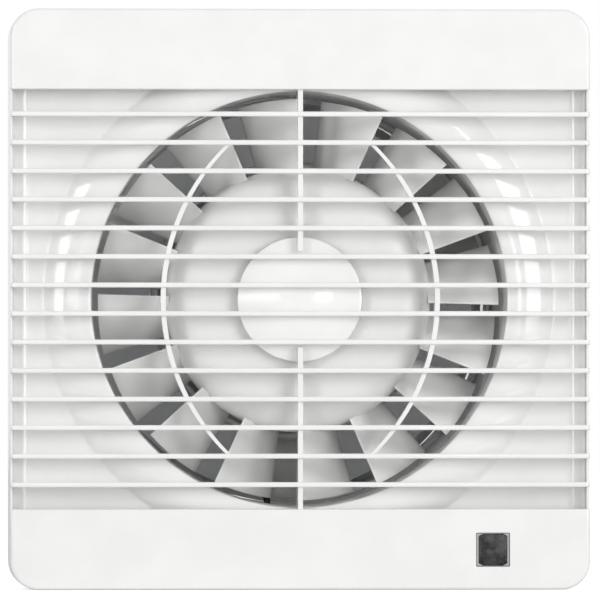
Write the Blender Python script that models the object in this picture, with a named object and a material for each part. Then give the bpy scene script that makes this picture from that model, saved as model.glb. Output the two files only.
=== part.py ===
"""Square wall exhaust fan: louvred push-on grille, sixteen-blade impeller, motor, duct spigot with a
back-draught shutter, and sensor electronics.

Lengths are written in millimetres; finish() turns them into metres. The fan axis is the Y axis, the room
is at -Y, the duct at +Y, +Z is up, and the wall face is the plane y = 0.
"""

import math

import bmesh
import bpy
from mathutils import Vector

MM = 0.001
CLEAR = 0.3  # gap between neighbouring pieces
SINK = 0.6  # how far joined shapes run into each other

# Main sizes
TUBE_RADIUS = 73.0  # inside of the duct spigot
FACE = 2 * (TUBE_RADIUS + 29.5)
HALF = FACE / 2
FRONT = 33.0  # louvre fronts in front of the wall
PANEL = 21.0  # panel front in front of the wall
PARTING = 10.0  # where the grille's skirt meets the housing's rim

# Front grille
FACE_CORNER = 10.0
FACE_EDGE = 1.2
BAND_HEIGHT = 28.5
BAND_WALL = 2.0
SKIRT_WALL = 1.6
SKIRT_INSET = 0.4
LOUVRES = 14
LOUVRE_THICK = 1.8
LOUVRE_DEPTH = 7.5
LOUVRE_END_GAP = 8.6
LOUVRE_PITCH = (FACE - 2 * BAND_HEIGHT - 2 * LOUVRE_END_GAP) / (LOUVRES - 1)
LOUVRE_BACK = FRONT - LOUVRE_DEPTH
OPENING = HALF - BAND_HEIGHT  # half height of the louvred opening
SKIRT_INSIDE = HALF - SKIRT_INSET - SKIRT_WALL
RIB_THICK = 1.75
RIB_RECESS = 2.0
FOOT_THICK = 1.6
FOOT_GAP = 1.2  # between the rib's feet and the throat or the blades
ARC_RADIUS = 76.3
ARC_CROSSING = 48.5
ARC_THICK = 1.75
ARC_END_THICK = 1.1
DOME_RADIUS = 22.0
DOME_RISE = 2.7
DOME_RECESS = 3.0
DOME_WALL = 1.6
PEG_RADIUS = 2.3
PEG_X = HALF - 18.0
PEG_Z = HALF - 22.5
PEG_REACH = 9.0

# Sensor window
WINDOW = 12.3
WINDOW_X = HALF - 34.5
WINDOW_Z = -HALF + 14.1
WINDOW_DEPTH = 5.0
BEZEL_RECESS = 0.35
LENS_WIDTH = 10.0
LENS_HEIGHT = 11.4
LENS_CORNER = 3.0
LENS_WALL = 1.0
LENS_RISE = 1.5

# Housing
HOUSING_WALL = 2.0
THROAT_RADIUS = TUBE_RADIUS + 0.8
LIP = PANEL + 3.6  # crest of the inlet in front of the wall
BELL_RADIUS = HALF - 10.5
SLEEVE_END = 8.0  # back end of the inlet's sleeve, in front of the wall
SCREW_BOSS_AT = HALF - 11.5
SCREW_BOSS_RADIUS = 5.6
WALL_SCREW_HOLE = 2.3
WALL_SCREW_HEAD = 4.2
HEAD_SEAT = 5.0

# Duct spigot
TUBE_WALL = 1.5
TUBE_OUTSIDE = TUBE_RADIUS + TUBE_WALL
TUBE_END = 97.0
COLLAR_WALL = 1.6
COLLAR_FRONT = 14.0
COLLAR_BACK = 1.2

# Back-draught shutter in the spigot's end
SHUTTER_FRONT = 89.0
SHUTTER_RING = 3.0
SHUTTER_RING_DEPTH = 3.6
SPINE_HALF = 3.4
HINGE_X = 2.0
HINGE_RADIUS = 1.3
HINGE_PIN = 0.6
HINGE_BITE = 3.0  # length of a pin inside its barrel
SHUTTER_SEAT = SHUTTER_FRONT + SHUTTER_RING_DEPTH
HINGE_Y = SHUTTER_SEAT + HINGE_RADIUS + CLEAR
HINGE_HALF = TUBE_RADIUS - 12.0
FLAP_THICK = 1.0
FLAP_LAP = 1.4
LUG = 2.4

# Electronics tray in the lower edge of the housing
TRAY_LEFT = -HALF + 32.5
TRAY_RIGHT = HALF - 22.5
TRAY_TOP = -TUBE_RADIUS - 6.3
TRAY_BOTTOM = -HALF + 5.9
TRAY_MIDDLE = (TRAY_TOP + TRAY_BOTTOM) / 2
TRAY_WALL = 1.6
TRAY_FLOOR = 4.0
BOARD_LEFT = TRAY_LEFT + 20.0
BOARD_RIGHT = TRAY_RIGHT - 7.0
BOARD_EDGE = 1.2  # between board and tray, above and below
BOARD_THICK = 1.6
BOARD_STANDOFF = 2.6
BOARD_BACK = TRAY_FLOOR + BOARD_STANDOFF
BOARD_FRONT = BOARD_BACK + BOARD_THICK
COVER_THICK = 1.8
COVER_LAP = 1.6
SMALL_SCREW = 1.2
SMALL_HEAD = 2.6
CABLE_INLET = 3.6
INLET = (TRAY_LEFT + 6.0, TRAY_TOP - 5.2)
COVER_SCREWS = ((TRAY_LEFT + 2.2, TRAY_BOTTOM + 2.2), (TRAY_RIGHT - 2.2, TRAY_BOTTOM + 2.2))
CLAMP_SCREWS = ((TRAY_LEFT + 14.0, TRAY_BOTTOM + 3.2), (TRAY_LEFT + 14.0, TRAY_TOP - 3.0))
TRIMMER = (WINDOW_X - 18.0, TRAY_MIDDLE)
TRIMMER_HALF = 3.6
TRIMMER_WELL = 2.5
TRIMMER_HEIGHT = 4.6
TERMINAL_PITCH = 7.6
TERMINAL_HALF = 5.0
TERMINAL_WELL = 2.2
TERMINAL_HEIGHT = 9.6
TERMINAL_SEAT = 5.4  # bottom of a screw's well above the board
TERMINAL_SCREW = 2.7
TERMINAL_X = tuple(BOARD_LEFT + 9.0 + TERMINAL_PITCH * place for place in (0, 1, 2))
CAPACITOR_WIDTH = 15.0
CAPACITOR_HEIGHT = 10.4
CAPACITOR_DEPTH = 8.8
CAPACITOR_LEFT = TRIMMER[0] - TRIMMER_HALF - 6.4 - CAPACITOR_WIDTH
RELAY_WIDTH = 19.0
RELAY_HEIGHT = 12.4
RELAY_DEPTH = 10.4
RELAY_LEFT = CAPACITOR_LEFT - 4.0 - RELAY_WIDTH
POST_UNDER_RELAY = (RELAY_LEFT + 10.0, TRAY_MIDDLE)
BOARD_POSTS = ((BOARD_LEFT + 4.0, TRAY_BOTTOM + 4.0), POST_UNDER_RELAY, (BOARD_RIGHT - 3.0, TRAY_TOP - 4.0))
COVER_SCREW_LENGTH = 11.0
CLAMP_SCREW_LENGTH = 6.0
CLAMP_SEAT = 4.0  # height of the clamp's posts over the tray floor
CLAMP_THICK = 2.4

# Impeller
TIP_RADIUS = TUBE_RADIUS - 1.9
HUB_RADIUS = TIP_RADIUS - 24.1
HUB_WALL = 2.0
BLADE_FRONT = 19.4  # leading edges in front of the wall
BLADE_DEPTH = 18.4
BLADE_SECTOR = 17.5
BLADE_THICK = 1.5
PITCH_STEPS = (24.3, 22.9, 22.2, 21.6, 20.4, 20.6, 24.4, 23.6)
FIRST_BLADE = 0.5
HUB_FRONT = 22.4
BOSS_RADIUS = 6.0

# Motor
SHAFT_RADIUS = 2.5
SHAFT_FRONT = 21.0
ROTOR_RADIUS = 12.4
AIR_GAP = 0.6
STACK_FRONT = 12.0
STACK = 18.0
STACK_BACK = STACK_FRONT + STACK
STATOR_HALF_WIDTH = 25.0
STATOR_TOP = 24.0
STATOR_CHAMFER = 9.0
LIMB_TOP = -26.0
LIMB = 8.0
LIMB_CHAMFER = 4.0
WINDOW_HALF = 15.0
WINDOW_SLOT = 9.0
COIL_HALF = 12.5
COIL_THICK = 4.2
BOBBIN_WALL = 1.0
FLANGE_WALL = 1.2
BEARING_RADIUS = 5.0
BEARING_LENGTH = 5.0
BRACKET_WALL = 1.8
BRACKET_HALF_HEIGHT = 8.0
BRACKET_CUP = 8.0
MOTOR_SCREW_X = 20.5
MOTOR_SCREW = 1.8
MOTOR_SCREW_HEAD = 3.4
MOTOR_SCREW_CROWN = 2.4
HUB_BOSS_END = STACK_FRONT - CLEAR - BRACKET_CUP - 0.8 - 1.0
RING_X = ROTOR_RADIUS + 5.0
RING_Z = 10.5

# Motor mount: cup, guide vanes and the ring that holds them in the spigot
SEAT = 42.0  # motor seat plate behind the wall face
SEAT_WALL = 2.5
CUP_RADIUS = HUB_RADIUS + 3.0
CUP_DEPTH = 12.0
VANES = 3
VANE_SECTOR = 29.0
VANE_DEPTH = 16.0
VANE_THICK = 2.2
MOUNT_RING = 1.5

# Motor lead
LEAD_RADIUS = 1.2
LEAD_X = -10.0
LEAD_EXIT = 2.4
LEAD_FLOOR_Z = TRAY_TOP - 2.4

ROUND = 36  # segments of the large turned shapes
SMALL_ROUND = 16


def material(name, colour, roughness, metallic=0.0):
    """A plain Principled material."""
    made = bpy.data.materials.new(name)
    made.use_nodes = True
    shader = made.node_tree.nodes["Principled BSDF"]
    shader.inputs["Base Color"].default_value = (*colour, 1.0)
    shader.inputs["Roughness"].default_value = roughness
    shader.inputs["Metallic"].default_value = metallic
    made.diffuse_color = (*colour, 1.0)
    return made


def finish(name, bm, look=None, origin=(0.0, 0.0, 0.0), helper=False):
    """Turns a mesh drawn in millimetres into an object in metres, with its origin at the given point."""
    bmesh.ops.recalc_face_normals(bm, faces=bm.faces)
    for vertex in bm.verts:
        vertex.co = (vertex.co - Vector(origin)) * MM
    mesh = bpy.data.meshes.new(name)
    bm.to_mesh(mesh)
    bm.free()
    mesh.shade_smooth()
    mesh.set_sharp_from_angle(angle=math.radians(32))
    made = bpy.data.objects.new(name, mesh)
    made.location = Vector(origin) * MM
    bpy.context.scene.collection.objects.link(made)
    if look:
        mesh.materials.append(look)
    if helper:
        made.hide_render = True
        made.display_type = "WIRE"
    return made


def combine(target, other, operation):
    """Adds a Boolean with a helper object to the target."""
    change = target.modifiers.new(f"{operation} {other.name}", "BOOLEAN")
    change.operation = operation
    change.solver = "EXACT"
    change.object = other


def add(target, other):
    combine(target, other, "UNION")


def cut(target, other):
    combine(target, other, "DIFFERENCE")


def shares(count):
    """Equal steps from nought to one."""
    return [step / count for step in range(count + 1)]


def loft(bm, rings):
    """Side faces between rings of equal length, with both ends capped."""
    rows = [[bm.verts.new(point) for point in ring] for ring in rings]
    for row, following in zip(rows, rows[1:]):
        for i in range(len(row)):
            j = (i + 1) % len(row)
            bm.faces.new((row[i], row[j], following[j], following[i]))
    bm.faces.new(rows[0])
    bm.faces.new(reversed(rows[-1]))


def turn(bm, profile, segments, centre=(0.0, 0.0), start=0.0):
    """Turns (radius, y) points about an axis along Y. A profile off the axis closes on itself."""
    rows = []
    for radius, y in profile:
        if radius == 0.0:
            rows.append([bm.verts.new((centre[0], y, centre[1]))])
            continue
        row = []
        for i in range(segments):
            angle = start + 2 * math.pi * i / segments
            point = (centre[0] + radius * math.cos(angle), y, centre[1] + radius * math.sin(angle))
            row.append(bm.verts.new(point))
        rows.append(row)
    pairs = list(zip(rows, rows[1:]))
    if profile[0][0] > 0.0 and profile[-1][0] > 0.0:
        pairs.append((rows[-1], rows[0]))
    for row, following in pairs:
        for i in range(segments):
            j = (i + 1) % segments
            corners = [row[k % len(row)] for k in (i, j)] + [following[k % len(following)] for k in (j, i)]
            bm.faces.new(list(dict.fromkeys(corners)))


def turned(
    name, profile, look=None, segments=SMALL_ROUND, centre=(0.0, 0.0), origin=(0.0, 0.0, 0.0), helper=False
):
    bm = bmesh.new()
    turn(bm, profile, segments, centre)
    return finish(name, bm, look, origin, helper)


def rod(radius, y0, y1):
    """Profile of a solid round bar between two depths."""
    return [(0.0, y0), (radius, y0), (radius, y1), (0.0, y1)]


def pipe(outer, inner, y0, y1):
    """Profile of a tube between two depths."""
    return [(outer, y0), (outer, y1), (inner, y1), (inner, y0)]


def slab(bm, outline, y0, y1):
    """Extrudes an (x, z) outline between two depths."""
    loft(bm, [[(x, y, z) for x, z in outline] for y in (y0, y1)])


def rectangle(x0, x1, z0, z1):
    return [(x0, z0), (x1, z0), (x1, z1), (x0, z1)]


def rounded(x0, x1, z0, z1, corner, steps=3):
    """Rectangle outline with round corners."""
    outline = []
    left, right, low, high = x0 + corner, x1 - corner, z0 + corner, z1 - corner
    for quarter, (x, z) in enumerate(((right, high), (left, high), (left, low), (right, low))):
        for step in range(steps + 1):
            angle = math.pi / 2 * (quarter + step / steps)
            outline.append((x + corner * math.cos(angle), z + corner * math.sin(angle)))
    return outline


def block(name, x, y, z, look=None, helper=False, corner=0.0):
    """Box between pairs of x, y and z, with round corners seen along Y where asked."""
    bm = bmesh.new()
    outline = rounded(*x, *z, corner) if corner else rectangle(*x, *z)
    slab(bm, outline, *y)
    return finish(name, bm, look, helper=helper)


def square_ring(half, corner, y):
    """Rounded square at one depth."""
    return [(x, y, z) for x, z in rounded(-half, half, -half, half, corner)]


def many_rods(name, spots, radius, y0, y1, segments=10):
    """Equal round bars at several (x, z) spots, as one helper."""
    bm = bmesh.new()
    for spot in spots:
        turn(bm, rod(radius, y0, y1), segments, spot)
    return finish(name, bm, helper=True)


def corners_of(x, z):
    """The four (x, z) spots at equal distances from the axis."""
    return [(side * x, level * z) for side in (-1, 1) for level in (-1, 1)]


def louvre_height(index):
    return (index - (LOUVRES - 1) / 2) * LOUVRE_PITCH


def grille_shell():
    """Outer skirt and front sheet of the grille, before the louvred opening is cut."""
    wall_half = HALF - SKIRT_INSET
    inner = wall_half - SKIRT_WALL
    corner = FACE_CORNER
    bm = bmesh.new()
    loft(
        bm,
        [
            square_ring(inner, corner - SKIRT_INSET - SKIRT_WALL, -FRONT + BAND_WALL),
            square_ring(inner, corner - SKIRT_INSET - SKIRT_WALL, -PARTING - CLEAR),
            square_ring(wall_half, corner - SKIRT_INSET, -PARTING - CLEAR),
            square_ring(wall_half, corner - SKIRT_INSET, -LOUVRE_BACK + SINK),
            square_ring(HALF, corner, -LOUVRE_BACK),
            square_ring(HALF, corner, -FRONT + FACE_EDGE),
            square_ring(HALF - FACE_EDGE / 3, corner - FACE_EDGE / 3, -FRONT + FACE_EDGE / 3),
            square_ring(HALF - FACE_EDGE, corner - FACE_EDGE, -FRONT),
        ],
    )
    return finish("front_grille", bm, WHITE)


def louvre_outline(middle, depth_back):
    """Louvre section in (y, z): rounded front, slightly thinner back."""
    half = LOUVRE_THICK / 2
    return [
        (-FRONT + 0.55, middle - half),
        (-depth_back, middle - half * 0.8),
        (-depth_back, middle + half * 0.8),
        (-FRONT + 0.55, middle + half),
        (-FRONT, middle + half * 0.4),
        (-FRONT, middle - half * 0.4),
    ]


def louvres():
    """All the slats, each running from side to side and wrapping down to the skirt."""
    bm = bmesh.new()
    for index in range(LOUVRES):
        section = louvre_outline(louvre_height(index), LOUVRE_BACK - SINK)
        loft(bm, [[(x, y, z) for y, z in section] for x in (-HALF, HALF)])
    return finish("louvres", bm, helper=True)


def arc_brace(side):
    """One curved stiffener, thick in the middle and thin at its ends, seen from the front."""
    end_height = abs(louvre_height(1))
    centre = side * (ARC_CROSSING - ARC_RADIUS)
    reach = math.asin(end_height / ARC_RADIUS)
    outer, inner = [], []
    for share in [2 * step - 1 for step in shares(6)]:
        angle = reach * share
        half = (ARC_THICK + (ARC_END_THICK - ARC_THICK) * share * share) / 2
        for row, radius in ((outer, ARC_RADIUS + half), (inner, ARC_RADIUS - half)):
            row.append((centre + side * radius * math.cos(angle), radius * math.sin(angle)))
    return outer + inner[::-1]


def braces():
    bm = bmesh.new()
    for side in (-1, 1):
        slab(bm, arc_brace(side), -FRONT + RIB_RECESS, -LOUVRE_BACK + 0.25)
    return finish("braces", bm, helper=True)


def rib():
    """Vertical rib in two lengths, above and below the dome, with a foot at each band."""
    half = RIB_THICK / 2
    top = OPENING + SINK
    start = DOME_RADIUS - 5.0
    foot_outside = THROAT_RADIUS - FOOT_GAP
    foot_inside = foot_outside - FOOT_THICK
    foot_end = -BLADE_FRONT - FOOT_GAP
    bm = bmesh.new()
    front = -FRONT + RIB_RECESS
    back = -LOUVRE_BACK - 0.2
    outline = [
        (front, start),
        (back, start),
        (back, foot_inside),
        (foot_end, foot_inside),
        (foot_end, foot_outside),
        (back, foot_outside),
        (back, top),
        (front, top),
    ]
    for side in (-1, 1):
        loft(bm, [[(x, y, side * z) for y, z in outline] for x in (-half, half)])
    return finish("rib", bm, helper=True)


def dome():
    """Convex disc behind the middle louvres, with a short skirt."""
    radius = (DOME_RADIUS**2 + DOME_RISE**2) / (2 * DOME_RISE)
    apex = -FRONT + DOME_RECESS

    def sag(r):
        return radius - math.sqrt(radius**2 - r**2)

    front = [(DOME_RADIUS * share, apex + sag(DOME_RADIUS * share)) for share in shares(3)]
    rim = -LOUVRE_BACK - 0.4
    inner = DOME_RADIUS - DOME_WALL
    back = [(inner, rim)]
    back += [(inner * share, apex + sag(inner * share) + DOME_WALL) for share in reversed(shares(2))]
    profile = front + [(DOME_RADIUS, rim)] + back
    return turned("dome", profile, segments=20, helper=True)


def grille():
    """Front grille: bands, slats, rib, braces, dome, skirt and pegs in one moulding."""
    shell = grille_shell()
    behind = -LOUVRE_BACK + 3
    cut(shell, block(
        "louvre_opening", (-SKIRT_INSIDE, SKIRT_INSIDE), (-FRONT - 5, behind), (-OPENING, OPENING), helper=True
    ))
    side_cut = bmesh.new()
    for side in (-1, 1):
        x = sorted((side * SKIRT_INSIDE * 0.98, side * (HALF + 5)))
        slab(side_cut, rectangle(*x, -OPENING, OPENING), -FRONT - 5, -LOUVRE_BACK - 0.01)
    cut(shell, finish("side_opening", side_cut, helper=True))
    cut(shell, block(
        "sensor_hole",
        (WINDOW_X - WINDOW / 2, WINDOW_X + WINDOW / 2),
        (-FRONT - 5, -FRONT + WINDOW_DEPTH),
        (WINDOW_Z - WINDOW / 2, WINDOW_Z + WINDOW / 2),
        helper=True,
    ))
    ledges = bmesh.new()
    for side in (-1, 1):
        near, far = side * OPENING, side * (OPENING + SKIRT_WALL)
        front = -FRONT + 0.5
        section = [(front, near), (-LOUVRE_BACK, near), (-LOUVRE_BACK, far), (front, far)]
        reach = SKIRT_INSIDE + SINK
        loft(ledges, [[(x, y, z) for y, z in section] for x in (-reach, reach)])
    add(shell, finish("band_ledges", ledges, helper=True))
    add(shell, louvres())
    add(shell, rib())
    add(shell, braces())
    add(shell, dome())
    pegs = corners_of(PEG_X, PEG_Z)
    add(shell, many_rods("pegs", pegs, PEG_RADIUS, -FRONT + 1.0, -PANEL + PEG_REACH))
    return shell


def sensor_bezel():
    """Grey square frame inside the grille's window."""
    half = WINDOW / 2 - CLEAR
    front = -FRONT + BEZEL_RECESS
    body = block(
        "sensor_bezel",
        (WINDOW_X - half, WINDOW_X + half),
        (front, -FRONT + WINDOW_DEPTH + 2.0),
        (WINDOW_Z - half, WINDOW_Z + half),
        GREY,
    )
    cut(body, block(
        "bezel_opening",
        (WINDOW_X - LENS_WIDTH / 2, WINDOW_X + LENS_WIDTH / 2),
        (front - 1, -FRONT + WINDOW_DEPTH + 3.0),
        (WINDOW_Z - LENS_HEIGHT / 2 + 0.3, WINDOW_Z + LENS_HEIGHT / 2 - 0.3),
        helper=True,
        corner=LENS_CORNER,
    ))
    return body


def sensor_lens():
    """Smoky domed lens that fills the bezel."""
    half_x = LENS_WIDTH / 2 - CLEAR
    half_z = LENS_HEIGHT / 2 - 0.3 - CLEAR
    corner = LENS_CORNER - CLEAR
    rim = -FRONT + BEZEL_RECESS + 0.9 + LENS_RISE
    back = rim + LENS_WALL + 0.6
    bm = bmesh.new()
    rings = []

    def ring(inset, y):
        outline = rounded(
            WINDOW_X - half_x + inset, WINDOW_X + half_x - inset,
            WINDOW_Z - half_z + inset, WINDOW_Z + half_z - inset, max(corner - inset * 0.5, 0.6),
        )
        return [(x, y, z) for x, z in outline]

    rings.append(ring(LENS_WALL, rim - LENS_RISE * 0.5 + LENS_WALL))
    rings.append(ring(LENS_WALL, back))
    rings.append(ring(0.0, back))
    rings.append(ring(0.0, rim))
    for inset, rise in ((0.8, 0.55), (2.0, 0.85), (3.4, 1.0)):
        rings.append(ring(inset, rim - LENS_RISE * rise))
    loft(bm, rings)
    return finish("sensor_lens", bm, SMOKE)


def bell_profile():
    """Rounded inlet with its short sleeve as one turned wall, (radius, y)."""
    crest = THROAT_RADIUS + 4.8
    return [
        (TUBE_RADIUS, -SLEEVE_END),
        (TUBE_RADIUS, -LIP + 7.0),
        (THROAT_RADIUS, -LIP + 1.3),
        (THROAT_RADIUS + 2.0, -LIP + 0.25),
        (crest, -LIP),
        (crest + 4.2, -LIP + 0.5),
        (crest + 8.4, -LIP + 2.1),
        (BELL_RADIUS, -PANEL + 0.3),
        (BELL_RADIUS, -PANEL + HOUSING_WALL - 0.3),
        (TUBE_OUTSIDE, -PANEL + 5.0),
        (TUBE_OUTSIDE, -SLEEVE_END),
    ]


def vane(bm, middle):
    """One guide vane between the motor cup and the duct wall; the angle is clockwise from the top."""
    radii = (CUP_RADIUS - SEAT_WALL / 2, TUBE_RADIUS - CLEAR - MOUNT_RING / 2)
    rings = []
    for share in shares(4):
        angle = math.radians(middle + VANE_SECTOR * (share - 0.5))
        y = SEAT + 0.8 + (VANE_DEPTH - 5.0) * share**1.4
        spots = [(radius * math.sin(angle), radius * math.cos(angle)) for radius in radii]
        ring = [(x, y, z) for x, z in spots] + [(x, y + VANE_THICK, z) for x, z in reversed(spots)]
        rings.append(ring)
    loft(bm, rings)


def housing_shell():
    """Square base tray with its front panel and stepped rim."""
    step = HALF - SKIRT_INSET - SKIRT_WALL - CLEAR
    corner = FACE_CORNER
    inner = step - HOUSING_WALL
    bm = bmesh.new()
    loft(
        bm,
        [
            square_ring(inner, 6.0, -PANEL + HOUSING_WALL),
            square_ring(inner, 6.0, -PARTING + HOUSING_WALL + 0.4),
            square_ring(HALF - HOUSING_WALL, corner - HOUSING_WALL, -PARTING + HOUSING_WALL + 0.4 + 1.5),
            square_ring(HALF - HOUSING_WALL, corner - HOUSING_WALL, 0.0),
            square_ring(HALF, corner, 0.0),
            square_ring(HALF, corner, -PARTING),
            square_ring(step, corner - 2.2, -PARTING),
            square_ring(step, corner - 2.2, -PANEL + 0.8),
            square_ring(step - 0.8, corner - 3.0, -PANEL),
        ],
    )
    return finish("housing", bm, WHITE)


def housing():
    """Base with the front panel, inlet, screw bosses, peg sockets and electronics tray."""
    body = housing_shell()
    cut(body, turned("panel_hole", rod(THROAT_RADIUS + 8.0, -FRONT, 5.0), segments=24, helper=True))
    bell = bmesh.new()
    turn(bell, bell_profile(), ROUND)
    add(body, finish("bell", bell, helper=True))
    add(body, block(
        "tray_walls",
        (TRAY_LEFT - TRAY_WALL, TRAY_RIGHT + TRAY_WALL),
        (-PANEL + SINK, -TRAY_FLOOR + TRAY_WALL),
        (TRAY_BOTTOM - TRAY_WALL - SINK, TRAY_TOP + TRAY_WALL),
        helper=True,
    ))
    bosses = corners_of(SCREW_BOSS_AT, SCREW_BOSS_AT)
    add(body, many_rods("screw_bosses", bosses, SCREW_BOSS_RADIUS, -PANEL + SINK, 0.0))
    sockets = corners_of(PEG_X, PEG_Z)
    socket_end = -PANEL + PEG_REACH + 1.0
    add(body, many_rods("peg_sockets", sockets, PEG_RADIUS + CLEAR + 1.5, -PANEL + SINK, socket_end))
    cut(body, block(
        "tray_pocket", (TRAY_LEFT, TRAY_RIGHT), (-FRONT, -TRAY_FLOOR), (TRAY_BOTTOM, TRAY_TOP), helper=True, corner=1.0
    ))
    cut(body, block(
        "cover_seat",
        (TRAY_LEFT - COVER_LAP - CLEAR, TRAY_RIGHT + COVER_LAP + CLEAR),
        (-FRONT, -PANEL),
        (TRAY_BOTTOM - 5.0, TRAY_TOP + COVER_LAP + CLEAR),
        helper=True,
    ))
    posts = bmesh.new()
    for spot in COVER_SCREWS:
        turn(posts, rod(SMALL_SCREW + 1.5, -PANEL, -TRAY_FLOOR + 0.5), 10, spot)
    for spot in CLAMP_SCREWS:
        turn(posts, rod(SMALL_SCREW + 1.2, -TRAY_FLOOR - CLAMP_SEAT, -TRAY_FLOOR + 0.5), 10, spot)
    for spot in BOARD_POSTS:
        turn(posts, rod(2.4, -BOARD_BACK + CLEAR, -TRAY_FLOOR + 0.5), 10, spot)
    add(body, finish("tray_posts", posts, helper=True))
    cut(body, housing_holes(bosses, sockets))
    return body


def housing_holes(bosses, sockets):
    """Every round hole in the housing, none touching another."""
    bm = bmesh.new()
    wall_screw = [
        (0.0, -FRONT), (WALL_SCREW_HEAD, -FRONT), (WALL_SCREW_HEAD, -HEAD_SEAT),
        (WALL_SCREW_HOLE, -HEAD_SEAT), (WALL_SCREW_HOLE, 5.0), (0.0, 5.0),
    ]
    for spot in bosses:
        turn(bm, wall_screw, 10, spot)
    for spot in sockets:
        turn(bm, rod(PEG_RADIUS + CLEAR, -FRONT, 0.0), 10, spot)
    for spot in COVER_SCREWS:
        turn(bm, rod(SMALL_SCREW + CLEAR, -PANEL - 3.0, -PANEL + 11.5), 10, spot)
    for spot in CLAMP_SCREWS:
        turn(bm, rod(SMALL_SCREW + CLEAR, -TRAY_FLOOR - 7.0, -TRAY_FLOOR + 0.9), 10, spot)
    turn(bm, rod(CABLE_INLET, -FRONT, 5.0), SMALL_ROUND, INLET)
    turn(bm, rod(LEAD_RADIUS + 0.4, -TRAY_FLOOR - 1.0, 0.0), 12, (LEAD_X, LEAD_FLOOR_Z))
    return finish("housing_holes", bm, helper=True)


def duct_spigot():
    """Round spigot whose collar fits over the inlet's sleeve, with the lead's way through its wall."""
    inside = TUBE_OUTSIDE + CLEAR
    profile = [
        (TUBE_RADIUS, -SLEEVE_END + CLEAR),
        (TUBE_RADIUS, TUBE_END),
        (TUBE_OUTSIDE, TUBE_END),
        (TUBE_OUTSIDE, -COLLAR_BACK),
        (inside + COLLAR_WALL, -COLLAR_BACK - 1.0),
        (inside + COLLAR_WALL, -COLLAR_FRONT),
        (inside, -COLLAR_FRONT),
        (inside, -SLEEVE_END + CLEAR),
    ]
    body = turned("duct_spigot", profile, WHITE, segments=ROUND)
    hole = LEAD_RADIUS + 0.4
    way = bmesh.new()
    slab(
        way,
        rectangle(LEAD_X - hole, LEAD_X + hole, -TUBE_OUTSIDE - 1.5, -TUBE_RADIUS + 2.0),
        LEAD_EXIT - hole,
        LEAD_EXIT + hole,
    )
    cut(body, finish("lead_way", way, helper=True))
    return body


def motor_mount():
    """Cup that carries the motor, held by three guide vanes in a ring that fits the spigot."""
    back = SEAT + VANE_DEPTH - 1.4
    inner = CUP_RADIUS - SEAT_WALL
    profile = [
        (0.0, SEAT),
        (inner, SEAT),
        (inner, SEAT - CUP_DEPTH),
        (CUP_RADIUS - 1.0, SEAT - CUP_DEPTH),
        (CUP_RADIUS, SEAT - CUP_DEPTH + 2.0),
        (CUP_RADIUS, back),
        (inner, back),
        (inner, SEAT + SEAT_WALL),
        (0.0, SEAT + SEAT_WALL),
    ]
    body = turned("motor_mount", profile, WHITE, segments=26)
    ring = TUBE_RADIUS - CLEAR
    vanes = bmesh.new()
    for index in range(VANES):
        vane(vanes, 360.0 / VANES * (index + 0.5))
    add(body, finish("vanes", vanes, helper=True))
    add(body, turned("mount_ring", pipe(ring, ring - MOUNT_RING, SEAT, back), segments=ROUND, helper=True))
    bolts = [(-MOTOR_SCREW_X, 0.0), (MOTOR_SCREW_X, 0.0)]
    post_top = STACK_BACK + CLEAR + BRACKET_WALL + CLEAR
    add(body, many_rods("motor_posts", bolts, MOTOR_SCREW + 2.4, post_top, SEAT + SINK))
    cut(body, many_rods("motor_bolt_holes", bolts, MOTOR_SCREW + CLEAR, STACK_BACK, SEAT + SEAT_WALL + 3.0))
    return body


def upright_bar(bm, x, y, radius, z0, z1, segments):
    """Round bar along Z."""
    turns = [2 * math.pi * i / segments for i in range(segments)]
    spots = [(x + radius * math.cos(turn), y + radius * math.sin(turn)) for turn in turns]
    loft(bm, [[(px, py, z) for px, py in spots] for z in (z0, z1)])


def shutter_frame():
    """Ring and upright spine in the spigot's end, with lugs and pins for the two flaps."""
    outside = TUBE_RADIUS - CLEAR
    reach = outside - SHUTTER_RING / 2
    profile = pipe(outside, outside - SHUTTER_RING, SHUTTER_FRONT, SHUTTER_SEAT)
    body = turned("shutter_frame", profile, WHITE, segments=ROUND)
    spine = (SHUTTER_FRONT + 0.4, SHUTTER_SEAT - 0.4)
    add(body, block("spine", (-SPINE_HALF, SPINE_HALF), spine, (-reach, reach), helper=True))
    start = HINGE_HALF + CLEAR
    side = HINGE_X + HINGE_RADIUS
    for level, label in ((-1, "lower"), (1, "upper")):
        z = sorted((level * start, level * (start + LUG)))
        lug = block(f"lug_{label}", (-side, side), (SHUTTER_SEAT - 1.0, HINGE_Y + HINGE_RADIUS), z, helper=True)
        add(body, lug)
    pins = bmesh.new()
    for x, level in corners_of(HINGE_X, 1.0):
        upright_bar(pins, x, HINGE_Y, HINGE_PIN, level * (start - HINGE_BITE), level * (start + LUG / 2), 8)
    add(body, finish("hinge_pins", pins, helper=True))
    return body


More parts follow.
